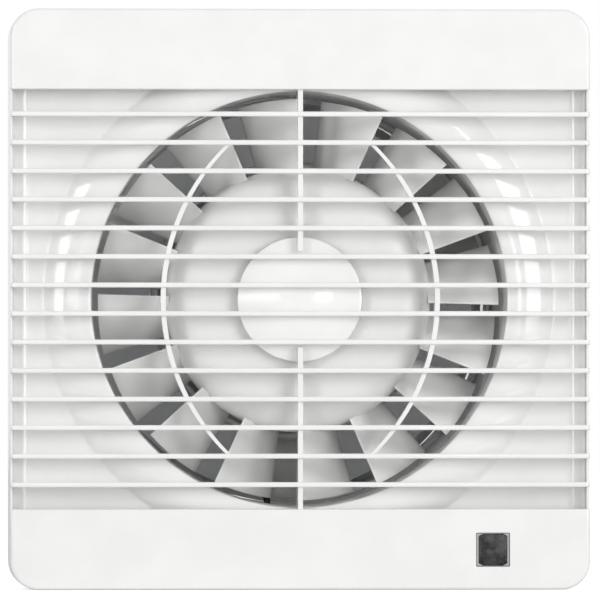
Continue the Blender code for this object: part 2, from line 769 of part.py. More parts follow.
def shutter_flap(label, side):
    """Half-disc flap with its hinge barrel; side -1 is the left one as seen from the room."""
    radius = TUBE_RADIUS - CLEAR - SHUTTER_RING + FLAP_LAP
    notch = HINGE_X + HINGE_RADIUS + 0.9
    front = SHUTTER_SEAT + CLEAR + 0.15
    start = math.asin(notch / radius)
    outline = [(notch, -HINGE_HALF), (HINGE_X, -HINGE_HALF), (HINGE_X, HINGE_HALF), (notch, HINGE_HALF)]
    for share in shares(11):
        angle = start + (math.pi - 2 * start) * share
        outline.append((radius * math.sin(angle), radius * math.cos(angle)))
    bm = bmesh.new()
    slab(bm, [(side * x, z) for x, z in outline], front, front + FLAP_THICK)
    body = finish(f"shutter_flap_{label}", bm, FLAP, origin=(side * HINGE_X, HINGE_Y, 0.0))
    barrel = bmesh.new()
    upright_bar(barrel, side * HINGE_X, HINGE_Y, HINGE_RADIUS, -HINGE_HALF + 0.05, HINGE_HALF - 0.05, 12)
    add(body, finish(f"barrel_{label}", barrel, helper=True))
    bores = bmesh.new()
    for level in (-1, 1):
        ends = (level * (HINGE_HALF - HINGE_BITE), level * (HINGE_HALF + 1.0))
        upright_bar(bores, side * HINGE_X, HINGE_Y, HINGE_PIN + CLEAR, *ends, 8)
    cut(body, finish(f"bores_{label}", bores, helper=True))
    return body


def blade(bm, front_angle):
    """One cambered blade from inside the hub wall to its tip; the angle is clockwise from the top."""
    rings = []
    root = HUB_RADIUS - HUB_WALL / 2
    for share in shares(4):
        angle = math.radians(front_angle - BLADE_SECTOR * share)
        y = -BLADE_FRONT + (BLADE_DEPTH - BLADE_THICK) * (0.55 * share + 0.45 * share**2)
        thick = BLADE_THICK * (0.55 + 0.9 * min(share * 3.0, 1.0))
        spots = [(radius * math.sin(angle), radius * math.cos(angle)) for radius in (root, TIP_RADIUS)]
        rings.append([(x, y, z) for x, z in spots] + [(x, y + thick, z) for x, z in reversed(spots)])
    loft(bm, rings)


def impeller():
    shoulder = 11.0
    drop = 7.6
    top = HUB_FRONT - 0.9
    profile = [(SHAFT_RADIUS + CLEAR, -HUB_FRONT + 3.6), (SHAFT_RADIUS + CLEAR + 5.0, -HUB_FRONT + 3.6)]
    profile += [(SHAFT_RADIUS + CLEAR + 5.6, -HUB_FRONT)]
    for share in shares(4):
        angle = math.pi / 2 * (1 - share)
        bulge = (shoulder * math.cos(angle), drop * math.sin(angle))
        profile.append((HUB_RADIUS - shoulder + bulge[0], -top + drop - bulge[1]))
    inner = HUB_RADIUS - HUB_WALL
    profile += [(HUB_RADIUS, 0.0), (inner, 0.0), (inner, -top + drop)]
    profile += [(HUB_RADIUS - shoulder, -top + HUB_WALL)]
    profile += [(BOSS_RADIUS + 4.0, -HUB_FRONT + HUB_WALL + 3.6), (BOSS_RADIUS, -HUB_FRONT + HUB_WALL + 5.4)]
    profile += [(BOSS_RADIUS, HUB_BOSS_END), (SHAFT_RADIUS + CLEAR, HUB_BOSS_END)]
    bm = bmesh.new()
    turn(bm, profile, 28)
    body = finish("impeller", bm, WHITE)
    blades = bmesh.new()
    angle = FIRST_BLADE
    for step in PITCH_STEPS * 2:
        blade(blades, angle)
        angle += step * 180.0 / sum(PITCH_STEPS)
    add(body, finish("blades", blades, helper=True))
    return body


def impeller_nut():
    """Hexagon nut in the recess of the hub."""
    corners = SHAFT_RADIUS * 1.7
    hexagon = [(corners * math.cos(math.pi / 3 * i), corners * math.sin(math.pi / 3 * i)) for i in range(6)]
    bm = bmesh.new()
    slab(bm, hexagon, -HUB_FRONT + 1.0, -HUB_FRONT + 3.6 - CLEAR)
    body = finish("impeller_nut", bm, BRASS)
    cut(body, turned("nut_bore", rod(SHAFT_RADIUS + CLEAR, -FRONT, 0.0), segments=24, helper=True))
    return body


def motor_shaft():
    tip = 0.6
    return turned(
        "motor_shaft",
        [
            (0.0, -SHAFT_FRONT),
            (SHAFT_RADIUS - tip, -SHAFT_FRONT),
            (SHAFT_RADIUS, -SHAFT_FRONT + tip),
            (SHAFT_RADIUS, SEAT - 1.6),
            (SHAFT_RADIUS - tip, SEAT - 1.0),
            (0.0, SEAT - 1.0),
        ],
        STEEL,
        segments=16,
    )


def rotor_core():
    return turned(
        "rotor_core",
        [
            (SHAFT_RADIUS + CLEAR, STACK_FRONT - 1.5),
            (ROTOR_RADIUS - 3.0, STACK_FRONT - 1.5),
            (ROTOR_RADIUS - 2.5, STACK_FRONT),
            (ROTOR_RADIUS, STACK_FRONT),
            (ROTOR_RADIUS, STACK_BACK),
            (ROTOR_RADIUS - 2.5, STACK_BACK),
            (ROTOR_RADIUS - 3.0, STACK_BACK + 1.5),
            (SHAFT_RADIUS + CLEAR, STACK_BACK + 1.5),
        ],
        LAMINATION,
        segments=20,
    )


def stator_core():
    """Laminated shaded-pole frame with the rotor bore and the coil window."""
    half = STATOR_HALF_WIDTH
    bottom = LIMB_TOP - LIMB
    chamfer = LIMB_CHAMFER
    shoulder = STATOR_CHAMFER
    outline = [
        (-half, bottom + chamfer), (-half + chamfer, bottom), (half - chamfer, bottom), (half, bottom + chamfer),
        (half, STATOR_TOP - shoulder), (half - shoulder, STATOR_TOP),
        (-half + shoulder, STATOR_TOP), (-half, STATOR_TOP - shoulder),
    ]
    bm = bmesh.new()
    slab(bm, outline, STACK_FRONT, STACK_BACK)
    body = finish("stator_core", bm, LAMINATION)
    cut(body, turned("rotor_bore", rod(ROTOR_RADIUS + AIR_GAP, 0.0, SEAT), segments=32, helper=True))
    cut(body, block(
        "coil_window", (-WINDOW_HALF, WINDOW_HALF), (0.0, SEAT), (LIMB_TOP, LIMB_TOP + WINDOW_SLOT), helper=True
    ))
    cut(body, many_rods(
        "stator_bolt_holes", [(-MOTOR_SCREW_X, 0.0), (MOTOR_SCREW_X, 0.0)], MOTOR_SCREW + CLEAR, 0.0, SEAT, 12
    ))
    return body


def around_limb(name, x, grow, thick, look, helper=False):
    """Closed sleeve around the coil limb; grow is the distance from the limb to its inside."""
    z0, z1 = LIMB_TOP - LIMB - grow, LIMB_TOP + grow
    y0, y1 = STACK_FRONT - grow, STACK_BACK + grow
    bm = bmesh.new()
    rings = []
    for x_at, more in ((x[0], 0.0), (x[0], thick), (x[1], thick), (x[1], 0.0)):
        near, far, low, high = y0 - more, y1 + more, z0 - more, z1 + more
        rings.append([(x_at, y, z) for y, z in ((near, low), (far, low), (far, high), (near, high))])
    rows = [[bm.verts.new(point) for point in ring] for ring in rings]
    for row, following in zip(rows, rows[1:] + rows[:1]):
        for i in range(4):
            j = (i + 1) % 4
            bm.faces.new((row[i], row[j], following[j], following[i]))
    return finish(name, bm, look, helper=helper)


def coil():
    tube = around_limb("coil_bobbin", (-COIL_HALF, COIL_HALF), CLEAR, BOBBIN_WALL, NYLON)
    reach = CLEAR + BOBBIN_WALL
    for side, label in ((-1, "left"), (1, "right")):
        x = sorted((side * COIL_HALF, side * (COIL_HALF - FLANGE_WALL)))
        add(tube, around_limb(f"flange_{label}", x, reach - 0.2, COIL_THICK + 0.8, None, helper=True))
    wire_half = COIL_HALF - FLANGE_WALL - CLEAR
    around_limb("coil_winding", (-wire_half, wire_half), reach + CLEAR, COIL_THICK - 0.4, COPPER)
    return tube


def shading_ring(name, x_side, z_side):
    """Copper ring set on one pole face corner, lying on the front of the stack."""
    x, z = RING_X, RING_Z
    outline = rounded(x - 2.2, x + 2.2, z - 2.2, z + 2.2, 1.0, steps=2)
    hole = rounded(x - 1.1, x + 1.1, z - 1.1, z + 1.1, 0.5, steps=2)
    bm = bmesh.new()
    y0, y1 = STACK_FRONT - CLEAR - 1.4, STACK_FRONT - CLEAR
    rows = []
    for shape, y in ((outline, y0), (outline, y1), (hole, y1), (hole, y0)):
        rows.append([bm.verts.new((x_side * px, y, z_side * pz)) for px, pz in shape])
    for row, following in zip(rows, rows[1:] + rows[:1]):
        for i in range(len(row)):
            j = (i + 1) % len(row)
            bm.faces.new((row[i], row[j], following[j], following[i]))
    return finish(name, bm, COPPER)


def bearing_bracket(name, side):
    """Strap across the stator with a bearing cup; side -1 is the front one and 1 the rear one."""
    face = STACK_FRONT - CLEAR if side < 0 else STACK_BACK + CLEAR
    x = MOTOR_SCREW_X + MOTOR_SCREW + 2.4
    y = sorted((face, face + side * BRACKET_WALL))
    body = block(name, (-x, x), y, (-BRACKET_HALF_HEIGHT / 2, BRACKET_HALF_HEIGHT / 2), ALUMINIUM, corner=3.0)
    outer = BEARING_RADIUS + CLEAR + 1.6
    bell = ROTOR_RADIUS + 3.0
    end = face + side * (BRACKET_CUP + 0.8)
    base = face + side * 0.2
    cup = [
        (0.0, base), (bell, base), (bell - 0.6, face + side * 3.2),
        (outer + 1.0, face + side * 4.4), (outer, end), (0.0, end),
    ]
    add(body, turned(f"{name}_cup", cup if side > 0 else cup[::-1], segments=14, helper=True))
    deep = face + side * (BRACKET_CUP - 0.6)
    recess = ROTOR_RADIUS + 0.8
    seat_radius = BEARING_RADIUS + CLEAR
    shaft_way = SHAFT_RADIUS + 2 * CLEAR
    bore = [
        (0.0, face - side), (recess, face - side), (recess, face + side * 2.2), (seat_radius, face + side * 2.2),
        (seat_radius, deep), (shaft_way, deep), (shaft_way, end + side), (0.0, end + side),
    ]
    cut(body, turned(f"{name}_bore", bore if side > 0 else bore[::-1], segments=14, helper=True))
    bolts = [(-MOTOR_SCREW_X, 0.0), (MOTOR_SCREW_X, 0.0)]
    through = sorted((face - side, face + side * 4))
    cut(body, many_rods(f"{name}_bolt_holes", bolts, MOTOR_SCREW + CLEAR, *through, 12))
    return body


def bearing(name, side):
    face = STACK_FRONT - CLEAR if side < 0 else STACK_BACK + CLEAR
    deep = face + side * (BRACKET_CUP - 0.6 - CLEAR)
    ends = sorted((deep, deep - side * BEARING_LENGTH))
    return turned(name, pipe(BEARING_RADIUS, SHAFT_RADIUS + CLEAR, *ends), BRONZE, segments=14)


def motor_screw(name, x):
    head = STACK_FRONT - CLEAR - BRACKET_WALL - CLEAR
    profile = [
        (0.0, head - MOTOR_SCREW_CROWN),
        (MOTOR_SCREW_HEAD - 0.5, head - MOTOR_SCREW_CROWN),
        (MOTOR_SCREW_HEAD, head - 1.6),
        (MOTOR_SCREW_HEAD, head),
        (MOTOR_SCREW, head),
        (MOTOR_SCREW, SEAT + SEAT_WALL + 1.0),
        (0.0, SEAT + SEAT_WALL + 1.0),
    ]
    return turned(name, profile, STEEL, segments=12, centre=(x, 0.0))


def headed_screw(name, spot, seat, length, look, radius=SMALL_SCREW, head=SMALL_HEAD):
    """Pan-head screw along +Y whose head sits in front of the seat."""
    profile = [
        (0.0, seat - 1.8),
        (head * 0.7, seat - 1.8),
        (head, seat - 0.9),
        (head, seat),
        (radius, seat),
        (radius, seat + length),
        (0.0, seat + length),
    ]
    return turned(name, profile, look, segments=12, centre=spot)


def control_board():
    z = (TRAY_BOTTOM + BOARD_EDGE, TRAY_TOP - BOARD_EDGE)
    body = block("control_board", (BOARD_LEFT, BOARD_RIGHT), (-BOARD_FRONT, -BOARD_BACK), z, BOARD)
    notch = rod(LEAD_RADIUS + 1.2, -BOARD_FRONT - 1, -BOARD_BACK + 1)
    cut(body, turned("board_notch", notch, segments=12, centre=(LEAD_X, z[1]), helper=True))
    return body


def pir_sensor():
    seat = -BOARD_FRONT - CLEAR
    profile = [
        (0.0, seat - 4.4),
        (3.2, seat - 4.4),
        (3.2, seat - 4.0),
        (3.8, seat - 4.0),
        (4.1, seat - 3.6),
        (4.1, seat - 0.6),
        (4.6, seat - 0.6),
        (4.6, seat),
        (0.0, seat),
    ]
    return turned("pir_sensor", profile, TIN, segments=16, centre=(WINDOW_X, WINDOW_Z))


def timer():
    seat = -BOARD_FRONT - CLEAR
    x, z = TRIMMER
    half = TRIMMER_HALF
    y = (seat - TRIMMER_HEIGHT, seat)
    body = block("timer_trimmer", (x - half, x + half), y, (z - half, z + half), BLUE, corner=0.8)
    cut(body, turned("trimmer_well", rod(TRIMMER_WELL, seat - 6.0, seat - 1.4), centre=TRIMMER, helper=True))
    knob = turned(
        "timer_knob",
        rod(TRIMMER_WELL - CLEAR, seat - 5.4, seat - 1.4 - CLEAR),
        NYLON,
        centre=TRIMMER,
        origin=(x, seat - 3.5, z),
    )
    slot = block("knob_slot", (x - 3.0, x + 3.0), (seat - 6.0, seat - 4.5), (z - 0.4, z + 0.4), helper=True)
    cut(knob, slot)
    return body


def terminal_block():
    seat = -BOARD_FRONT - CLEAR
    x0 = TERMINAL_X[0] - TERMINAL_PITCH / 2 - 0.8
    x1 = TERMINAL_X[-1] + TERMINAL_PITCH / 2 + 0.8
    z = (TRAY_MIDDLE - TERMINAL_HALF, TRAY_MIDDLE + TERMINAL_HALF)
    body = block("terminal_block", (x0, x1), (seat - TERMINAL_HEIGHT, seat), z, NYLON)
    wells = bmesh.new()
    for x in TERMINAL_X:
        well = rod(TERMINAL_WELL + CLEAR, seat - TERMINAL_HEIGHT - 2.4, seat - TERMINAL_SEAT)
        turn(wells, well, 12, (x, TRAY_MIDDLE))
    cut(body, finish("terminal_wells", wells, helper=True))
    entries = bmesh.new()
    for x in TERMINAL_X:
        slab(entries, rectangle(x - 1.8, x + 1.8, TRAY_MIDDLE - 6.0, TRAY_MIDDLE - 1.0), seat - 4.6, seat - 1.4)
    cut(body, finish("wire_entries", entries, helper=True))
    for index, x in enumerate(TERMINAL_X):
        name = f"terminal_screw_{index + 1}"
        foot = seat - TERMINAL_SEAT - CLEAR
        body_profile = rod(TERMINAL_WELL, foot - TERMINAL_SCREW, foot)
        screw = turned(name, body_profile, BRASS, segments=12, centre=(x, TRAY_MIDDLE))
        slot = (TRAY_MIDDLE - 0.4, TRAY_MIDDLE + 0.4)
        cut(screw, block(f"{name}_slot", (x - 3.0, x + 3.0), (foot - 3.3, foot - 1.8), slot, helper=True))
    return body


def relay():
    seat = -BOARD_FRONT - CLEAR
    x = (RELAY_LEFT, RELAY_LEFT + RELAY_WIDTH)
    z = (TRAY_MIDDLE - RELAY_HEIGHT / 2, TRAY_MIDDLE + RELAY_HEIGHT / 2)
    return block("relay", x, (seat - RELAY_DEPTH, seat), z, BLACK, corner=0.9)


def capacitor():
    seat = -BOARD_FRONT - CLEAR
    x = (CAPACITOR_LEFT, CAPACITOR_LEFT + CAPACITOR_WIDTH)
    z = (TRAY_MIDDLE - CAPACITOR_HEIGHT / 2, TRAY_MIDDLE + CAPACITOR_HEIGHT / 2)
    return block("capacitor", x, (seat - CAPACITOR_DEPTH, seat), z, YELLOW, corner=0.7)


def electronics_cover():
    lap = COVER_LAP
    y = (-PANEL - CLEAR - COVER_THICK, -PANEL - CLEAR)
    x = (TRAY_LEFT - lap, TRAY_RIGHT + lap)
    body = block("electronics_cover", x, y, (TRAY_BOTTOM - lap, TRAY_TOP + lap), COVER, corner=2.0)
    bm = bmesh.new()
    for spot in COVER_SCREWS:
        turn(bm, rod(SMALL_SCREW + CLEAR, -FRONT, 0.0), 12, spot)
    turn(bm, rod(5.4, -FRONT, 0.0), 16, (WINDOW_X, WINDOW_Z))
    turn(bm, rod(2.6, -FRONT, 0.0), 16, TRIMMER)
    cut(body, finish("cover_holes", bm, helper=True))
    return body


def cable_clamp():
    x = CLAMP_SCREWS[0][0]
    y1 = -TRAY_FLOOR - CLAMP_SEAT - CLEAR
    z = [spot[1] for spot in CLAMP_SCREWS]
    ends = (min(z) - 2.6, max(z) + 2.6)
    body = block("cable_clamp", (x - 2.8, x + 2.8), (y1 - CLAMP_THICK, y1), ends, NYLON, corner=1.2)
    cut(body, many_rods("clamp_holes", CLAMP_SCREWS, SMALL_SCREW + CLEAR, y1 - 4, y1 + 2, 12))
    return body


def motor_lead():
    """Lead from the coil over the cup's rim, along a vane and the duct wall, and through to the board."""
    inner = TUBE_RADIUS - LEAD_RADIUS - 0.9
    wall_z = -math.sqrt(inner**2 - LEAD_X**2)
    spots = [
        (LEAD_X, 8.0, -41.0),
        (LEAD_X, 20.0, -45.5),
        (LEAD_X, 26.5, -51.0),
        (LEAD_X, 30.0, -60.0),
        (LEAD_X, 27.0, wall_z + 2.0),
        (LEAD_X, 18.0, wall_z),
        (LEAD_X, 7.0, wall_z),
        (LEAD_X, LEAD_EXIT + 0.8, wall_z - 0.6),
        (LEAD_X, LEAD_EXIT, wall_z - 3.0),
        (LEAD_X, LEAD_EXIT - 0.8, LEAD_FLOOR_Z + 2.6),
        (LEAD_X, LEAD_EXIT - 3.4, LEAD_FLOOR_Z + 0.2),
        (LEAD_X, -TRAY_FLOOR, LEAD_FLOOR_Z),
        (LEAD_X, -BOARD_FRONT - 1.0, LEAD_FLOOR_Z),
        (LEAD_X, -BOARD_FRONT - 3.4, LEAD_FLOOR_Z - 2.5),
        (LEAD_X, -BOARD_FRONT - 3.0, LEAD_FLOOR_Z - 5.0),
        (LEAD_X, -BOARD_FRONT - LEAD_RADIUS - CLEAR, LEAD_FLOOR_Z - 7.0),
    ]
    points = []
    for i in range(len(spots) - 1):
        a = Vector(spots[max(i - 1, 0)])
        b, c = Vector(spots[i]), Vector(spots[i + 1])
        d = Vector(spots[min(i + 2, len(spots) - 1)])
        pieces = max(1, round((c - b).length / (5 * LEAD_RADIUS)))
        for step in range(pieces):
            t = step / pieces
            bend = (2 * a - 5 * b + 4 * c - d) * t**2 + (3 * b - a - 3 * c + d) * t**3
            points.append(0.5 * (2 * b + (c - a) * t + bend))
    points.append(Vector(spots[-1]))
    curve = bpy.data.curves.new("motor_lead", "CURVE")
    curve.dimensions = "3D"
    curve.bevel_depth = LEAD_RADIUS * MM
    curve.bevel_resolution = 1
    curve.use_fill_caps = True
    spline = curve.splines.new("POLY")
    spline.points.add(len(points) - 1)
    for target, point in zip(spline.points, points):
        target.co = (*(point * MM), 1.0)
    curve.materials.append(BLACK)
    made = bpy.data.objects.new("motor_lead", curve)
    bpy.context.scene.collection.objects.link(made)
    return made


for old in list(bpy.data.objects):
    bpy.data.objects.remove(old, do_unlink=True)

WHITE = material("white_plastic", (0.9, 0.9, 0.9), 0.3)
GREY = material("grey_plastic", (0.45, 0.45, 0.45), 0.4)
SMOKE = material("smoky_lens", (0.03, 0.03, 0.03), 0.1)
NYLON = material("natural_nylon", (0.8, 0.78, 0.7), 0.5)
COVER = material("inner_cover_plastic", (0.8, 0.8, 0.8), 0.45)
FLAP = material("shutter_plastic", (0.75, 0.75, 0.75), 0.45)
BOARD = material("circuit_board", (0.03, 0.2, 0.08), 0.5)
BLACK = material("black_plastic", (0.02, 0.02, 0.02), 0.4)
BLUE = material("blue_plastic", (0.03, 0.12, 0.5), 0.4)
YELLOW = material("yellow_capacitor", (0.8, 0.55, 0.05), 0.4)
STEEL = material("zinc_plated_steel", (0.6, 0.6, 0.58), 0.3, 1.0)
ALUMINIUM = material("cast_aluminium", (0.62, 0.62, 0.63), 0.45, 1.0)
LAMINATION = material("lamination_steel", (0.3, 0.3, 0.32), 0.5, 1.0)
COPPER = material("enamelled_copper", (0.7, 0.25, 0.1), 0.35, 1.0)
BRONZE = material("sintered_bronze", (0.5, 0.35, 0.15), 0.5, 1.0)
BRASS = material("brass", (0.75, 0.6, 0.25), 0.3, 1.0)
TIN = material("tinned_can", (0.7, 0.7, 0.7), 0.25, 1.0)

grille()
sensor_bezel()
sensor_lens()
housing()
duct_spigot()
motor_mount()
shutter_frame()
shutter_flap("left", -1)
shutter_flap("right", 1)
impeller()
impeller_nut()
motor_shaft()
rotor_core()
stator_core()
coil()
shading_ring("shading_ring_upper", 1, 1)
shading_ring("shading_ring_lower", -1, -1)
for label, side in (("front", -1), ("rear", 1)):
    bearing_bracket(f"{label}_bearing_bracket", side)
    bearing(f"{label}_bearing", side)
motor_screw("motor_screw_left", -MOTOR_SCREW_X)
motor_screw("motor_screw_right", MOTOR_SCREW_X)
control_board()
pir_sensor()
timer()
terminal_block()
relay()
capacitor()
electronics_cover()
for label, spot in zip(("left", "right"), COVER_SCREWS):
    headed_screw(f"cover_screw_{label}", spot, -PANEL - CLEAR - COVER_THICK - CLEAR, COVER_SCREW_LENGTH, STEEL)
cable_clamp()
clamp_front = -TRAY_FLOOR - CLAMP_SEAT - CLEAR - CLAMP_THICK
for label, spot in zip(("lower", "upper"), CLAMP_SCREWS):
    headed_screw(f"clamp_screw_{label}", spot, clamp_front - CLEAR, CLAMP_SCREW_LENGTH, STEEL)
motor_lead()
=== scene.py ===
"""Dressed model of a square wall exhaust fan for a 150 mm duct.

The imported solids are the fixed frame. Moulded pieces are surfaces worked out here in finer detail, and the
small solids inside keep their shape and get their finish. Lengths are in millimetres unless a name says
otherwise. The fan axis is the Y axis, the room is at -Y, the duct at +Y, and +Z is up.
"""

from __future__ import annotations

import logging
import math
from dataclasses import dataclass, field
from enum import Enum

import bmesh
import bpy
import numpy as np
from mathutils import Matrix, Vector


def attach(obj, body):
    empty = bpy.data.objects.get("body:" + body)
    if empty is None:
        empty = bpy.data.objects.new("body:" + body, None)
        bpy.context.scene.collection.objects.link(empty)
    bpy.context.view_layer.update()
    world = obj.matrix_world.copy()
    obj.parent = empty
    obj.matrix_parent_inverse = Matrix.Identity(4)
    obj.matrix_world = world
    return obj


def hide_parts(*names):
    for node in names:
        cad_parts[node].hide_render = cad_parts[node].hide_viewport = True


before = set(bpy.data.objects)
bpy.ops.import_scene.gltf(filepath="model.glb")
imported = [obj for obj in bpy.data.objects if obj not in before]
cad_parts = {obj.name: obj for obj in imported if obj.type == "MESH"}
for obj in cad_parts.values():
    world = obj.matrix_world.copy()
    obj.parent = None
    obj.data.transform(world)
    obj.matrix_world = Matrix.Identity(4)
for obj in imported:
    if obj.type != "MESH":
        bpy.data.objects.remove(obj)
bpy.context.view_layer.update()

log = logging.getLogger("fan")

Array = np.ndarray
Pair = tuple[float, float]
Tree = bpy.types.NodeTree
Socket = bpy.types.NodeSocket
Object = bpy.types.Object
MM = 0.001
TAU = 2.0 * math.pi
# Play between a pin and its hole, and between the lead and what it lies beside, in millimetres.
CLEAR = 0.3
# Width of the picture in pixels; its height follows from the frame.
IMAGE_WIDTH = 600


class Body(Enum):
    """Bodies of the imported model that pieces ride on."""

    BASE = "base"
    IMPELLER = "impeller_assembly"
    GRILLE = "grille_assembly"
    SHUTTER_LEFT = "shutter_left"
    SHUTTER_RIGHT = "shutter_right"


def linear(hex_colour: str) -> tuple[float, float, float, float]:
    """Turns an sRGB hex colour into linear light.

    Args:
        hex_colour: six hex digits after a hash sign.

    Returns:
        Red, green, blue and an alpha of one. A channel c above 0.04045 becomes ((c + 0.055) / 1.055) ** 2.4,
        and a darker one c / 12.92.
    """
    channels = np.array([int(hex_colour[i : i + 2], 16) for i in (1, 3, 5)]) / 255.0
    light = np.where(channels > 0.04045, ((channels + 0.055) / 1.055) ** 2.4, channels / 12.92)
    return (*light.tolist(), 1.0)


def node(tree: Tree, kind: str, inputs: dict | None = None, **settings: object) -> bpy.types.Node:
    """Adds a shader node with its settings and links.

    Args:
        tree: node tree that takes the node.
        kind: Blender's name for the node type.
        inputs: value or output socket for each input, by name or number.
        settings: properties of the node.

    Returns:
        The new node.
    """
    made = tree.nodes.new(kind)
    for name, value in settings.items():
        setattr(made, name, value)
    for name, value in (inputs or {}).items():
        if isinstance(value, Socket):
            tree.links.new(value, made.inputs[name])
        else:
            made.inputs[name].default_value = value
    return made


def noise(tree: Tree, place: Socket, size: float, detail: float) -> Socket:
    """Noise over object space whose blotches are about size millimetres wide, from nought to one."""
    inputs = {"Vector": place, "Scale": 1.0 / (size * MM), "Detail": detail}
    return node(tree, "ShaderNodeTexNoise", inputs).outputs[0]


def emptied(owner: bpy.types.Material | bpy.types.World) -> Tree:
    """Node tree of a new material or world, with its first nodes taken out."""
    owner.use_nodes = True
    owner.node_tree.nodes.clear()
    return owner.node_tree


def placed(name: str, data: bpy.types.ID) -> Object:
    """Object of that name and data, put into the scene."""
    made = bpy.data.objects.new(name, data)
    bpy.context.scene.collection.objects.link(made)
    return made


@dataclass(frozen=True)
class Finish:
    """A surface finish with a fine isotropic grain; the other finishes change its relief."""

    name: str
    colour: str
    shade: str
    roughness: float
    spread: float = 0.04
    metallic: float = 0.0
    grain: float = 0.5
    relief: float = 0.004
    tone: float = 18.0

    def height(self, tree: Tree, place: Socket) -> Socket:
        """Relief pattern from nought to one over object space, here a fine grain."""
        return noise(tree, place, self.grain, 3.0)

    def extra(self, tree: Tree, shader: bpy.types.Node) -> None:
        """Settings of the shader that only some finishes need."""

    def material(self) -> bpy.types.Material:
        """Builds the material the first time and returns it.

        Returns:
            A Principled material: two close tones mixed by a slow noise, roughness that wanders about its
            mean with a middling noise, and a bump whose height is the relief pattern times the relief depth.
        """
        found = bpy.data.materials.get(self.name)
        if found:
            return found
        made = bpy.data.materials.new(self.name)
        tree = emptied(made)
        place = node(tree, "ShaderNodeTexCoord").outputs["Object"]
        slow = noise(tree, place, self.tone, 2.0)
        middling = noise(tree, place, self.tone / 5.0, 4.0)
        tone = node(tree, "ShaderNodeMapRange", {"Value": slow, "From Min": 0.35, "From Max": 0.65})
        colour = node(
            tree,
            "ShaderNodeMix",
            {0: tone.outputs[0], 6: linear(self.colour), 7: linear(self.shade)},
            data_type="RGBA",
        )
        rough = node(
            tree,
            "ShaderNodeMapRange",
            {
                "Value": middling,
                "From Min": 0.3,
                "From Max": 0.7,
                "To Min": self.roughness - self.spread,
                "To Max": self.roughness + self.spread,
            },
        )
        bump = node(
            tree,
            "ShaderNodeBump",
            {"Height": self.height(tree, place), "Distance": self.relief * MM, "Strength": 1.0},
        )
        shader = node(
            tree,
            "ShaderNodeBsdfPrincipled",
            {
                "Base Color": colour.outputs[2],
                "Roughness": rough.outputs[0],
                "Normal": bump.outputs[0],
                "Metallic": self.metallic,
            },
        )
        self.extra(tree, shader)
        node(tree, "ShaderNodeOutputMaterial", {"Surface": shader.outputs[0]})
        return made


@dataclass(frozen=True)
class Plastic(Finish):
    """Injection-moulded plastic, which shows a soft gloss over a fine eroded grain."""

    ior: float = 1.53
    through: float = 0.0
    thin: float = 0.0
    reach: float = 1.2

    def extra(self, tree: Tree, shader: bpy.types.Node) -> None:
        """Sets the index, the light that passes through thin walls and the light that wanders inside."""
        shader.inputs["IOR"].default_value = self.ior
        shader.inputs["Transmission Weight"].default_value = self.thin
        if self.through:
            shader.inputs["Subsurface Weight"].default_value = self.through
            shader.inputs["Subsurface Radius"].default_value = (1.0, 1.0, 1.0)
            shader.inputs["Subsurface Scale"].default_value = self.reach * MM


@dataclass(frozen=True)
class Banded(Finish):
    """A finish with straight ridges side by side along one axis, such as stacked sheet or wound wire."""

    axis: str = "Y"
    pitch: float = 0.5

    def height(self, tree: Tree, place: Socket) -> Socket:
        """Sine ridges one pitch apart, a little broken by noise."""
        # Blender's wave texture repeats 20 / tau times over one unit of its scale.
        wave = node(
            tree,
            "ShaderNodeTexWave",
            {"Vector": place, "Scale": TAU / (20.0 * self.pitch * MM), "Distortion": 0.6, "Detail": 1.0},
            wave_type="BANDS",
            bands_direction=self.axis,
            wave_profile="SIN",
        )
        return wave.outputs[1]


@dataclass(frozen=True)
class Brushed(Finish):
    """Metal with short parallel marks from turning or rolling along one axis."""

    stretch: tuple[float, float, float] = (1.0, 12.0, 1.0)

    def height(self, tree: Tree, place: Socket) -> Socket:
        """Noise drawn out across the marks: the coordinates are divided by the stretch before it."""
        squeezed = node(
            tree, "ShaderNodeMapping", {"Vector": place, "Scale": tuple(1.0 / s for s in self.stretch)}
        )
        return super().height(tree, squeezed.outputs[0])


@dataclass(frozen=True)
class Smoked(Finish):
    """Dark plastic that lets a little light through."""

    ior: float = 1.49
    clear: float = 0.2

    def extra(self, tree: Tree, shader: bpy.types.Node) -> None:
        """Sets the index and the share of light that passes."""
        shader.inputs["IOR"].default_value = self.ior
        shader.inputs["Transmission Weight"].default_value = self.clear


# White ABS, moulded in a polished tool: even, faintly warm white with clear soft-edged highlights.
WHITE_ABS = Plastic("white_abs_moulded", "#F4F4F3", "#F0F0EF", 0.09, 0.02, grain=0.45, relief=0.0006)
# The impeller's ABS, from a satin tool: its hub shows only broad soft highlights.
IMPELLER_ABS = Plastic("impeller_abs_satin", "#F1F1F0", "#EDEDEC", 0.38, 0.03, grain=0.45, relief=0.0015)
# The same ABS, painted grey for the sensor's frame: the grey is painted shade for the walls of the window in
# the white band. From an eroded tool face.
SHADE_GREY_ABS = Plastic("grey_abs_painted_shade", "#A9AAAB", "#A1A2A3", 0.34, grain=0.4, relief=0.003)
# Pale grey ABS of the shutter flaps: satin, from an eroded tool face, so thin that daylight glows through it.
SHUTTER_ABS = Plastic("shutter_abs_eroded", "#E6E7E8", "#E1E2E3", 0.5, grain=0.35, relief=0.004, thin=0.4)
# Smoke-tinted polycarbonate, polished; its lighter cloudy blotches are painted, standing in for the sensor's
# parts seen through it.
SMOKED_PC = Smoked(
    "smoked_polycarbonate_polished", "#060607", "#47494A", 0.22, 0.1, grain=1.1, relief=0.03, tone=2.8
)
# Natural nylon 6, moulded: creamy, waxy, slightly see-through at its edges.
NYLON = Plastic("natural_nylon_moulded", "#DDD9C9", "#D3CEBB", 0.42, grain=0.35, relief=0.004, through=0.2)
# Flame-retardant ABS cover from an eroded tool: flat grey-white with an even dull grain.
COVER_ABS = Plastic("inner_cover_abs_eroded", "#E2E2E0", "#DADAD8", 0.5, grain=0.3, relief=0.006)
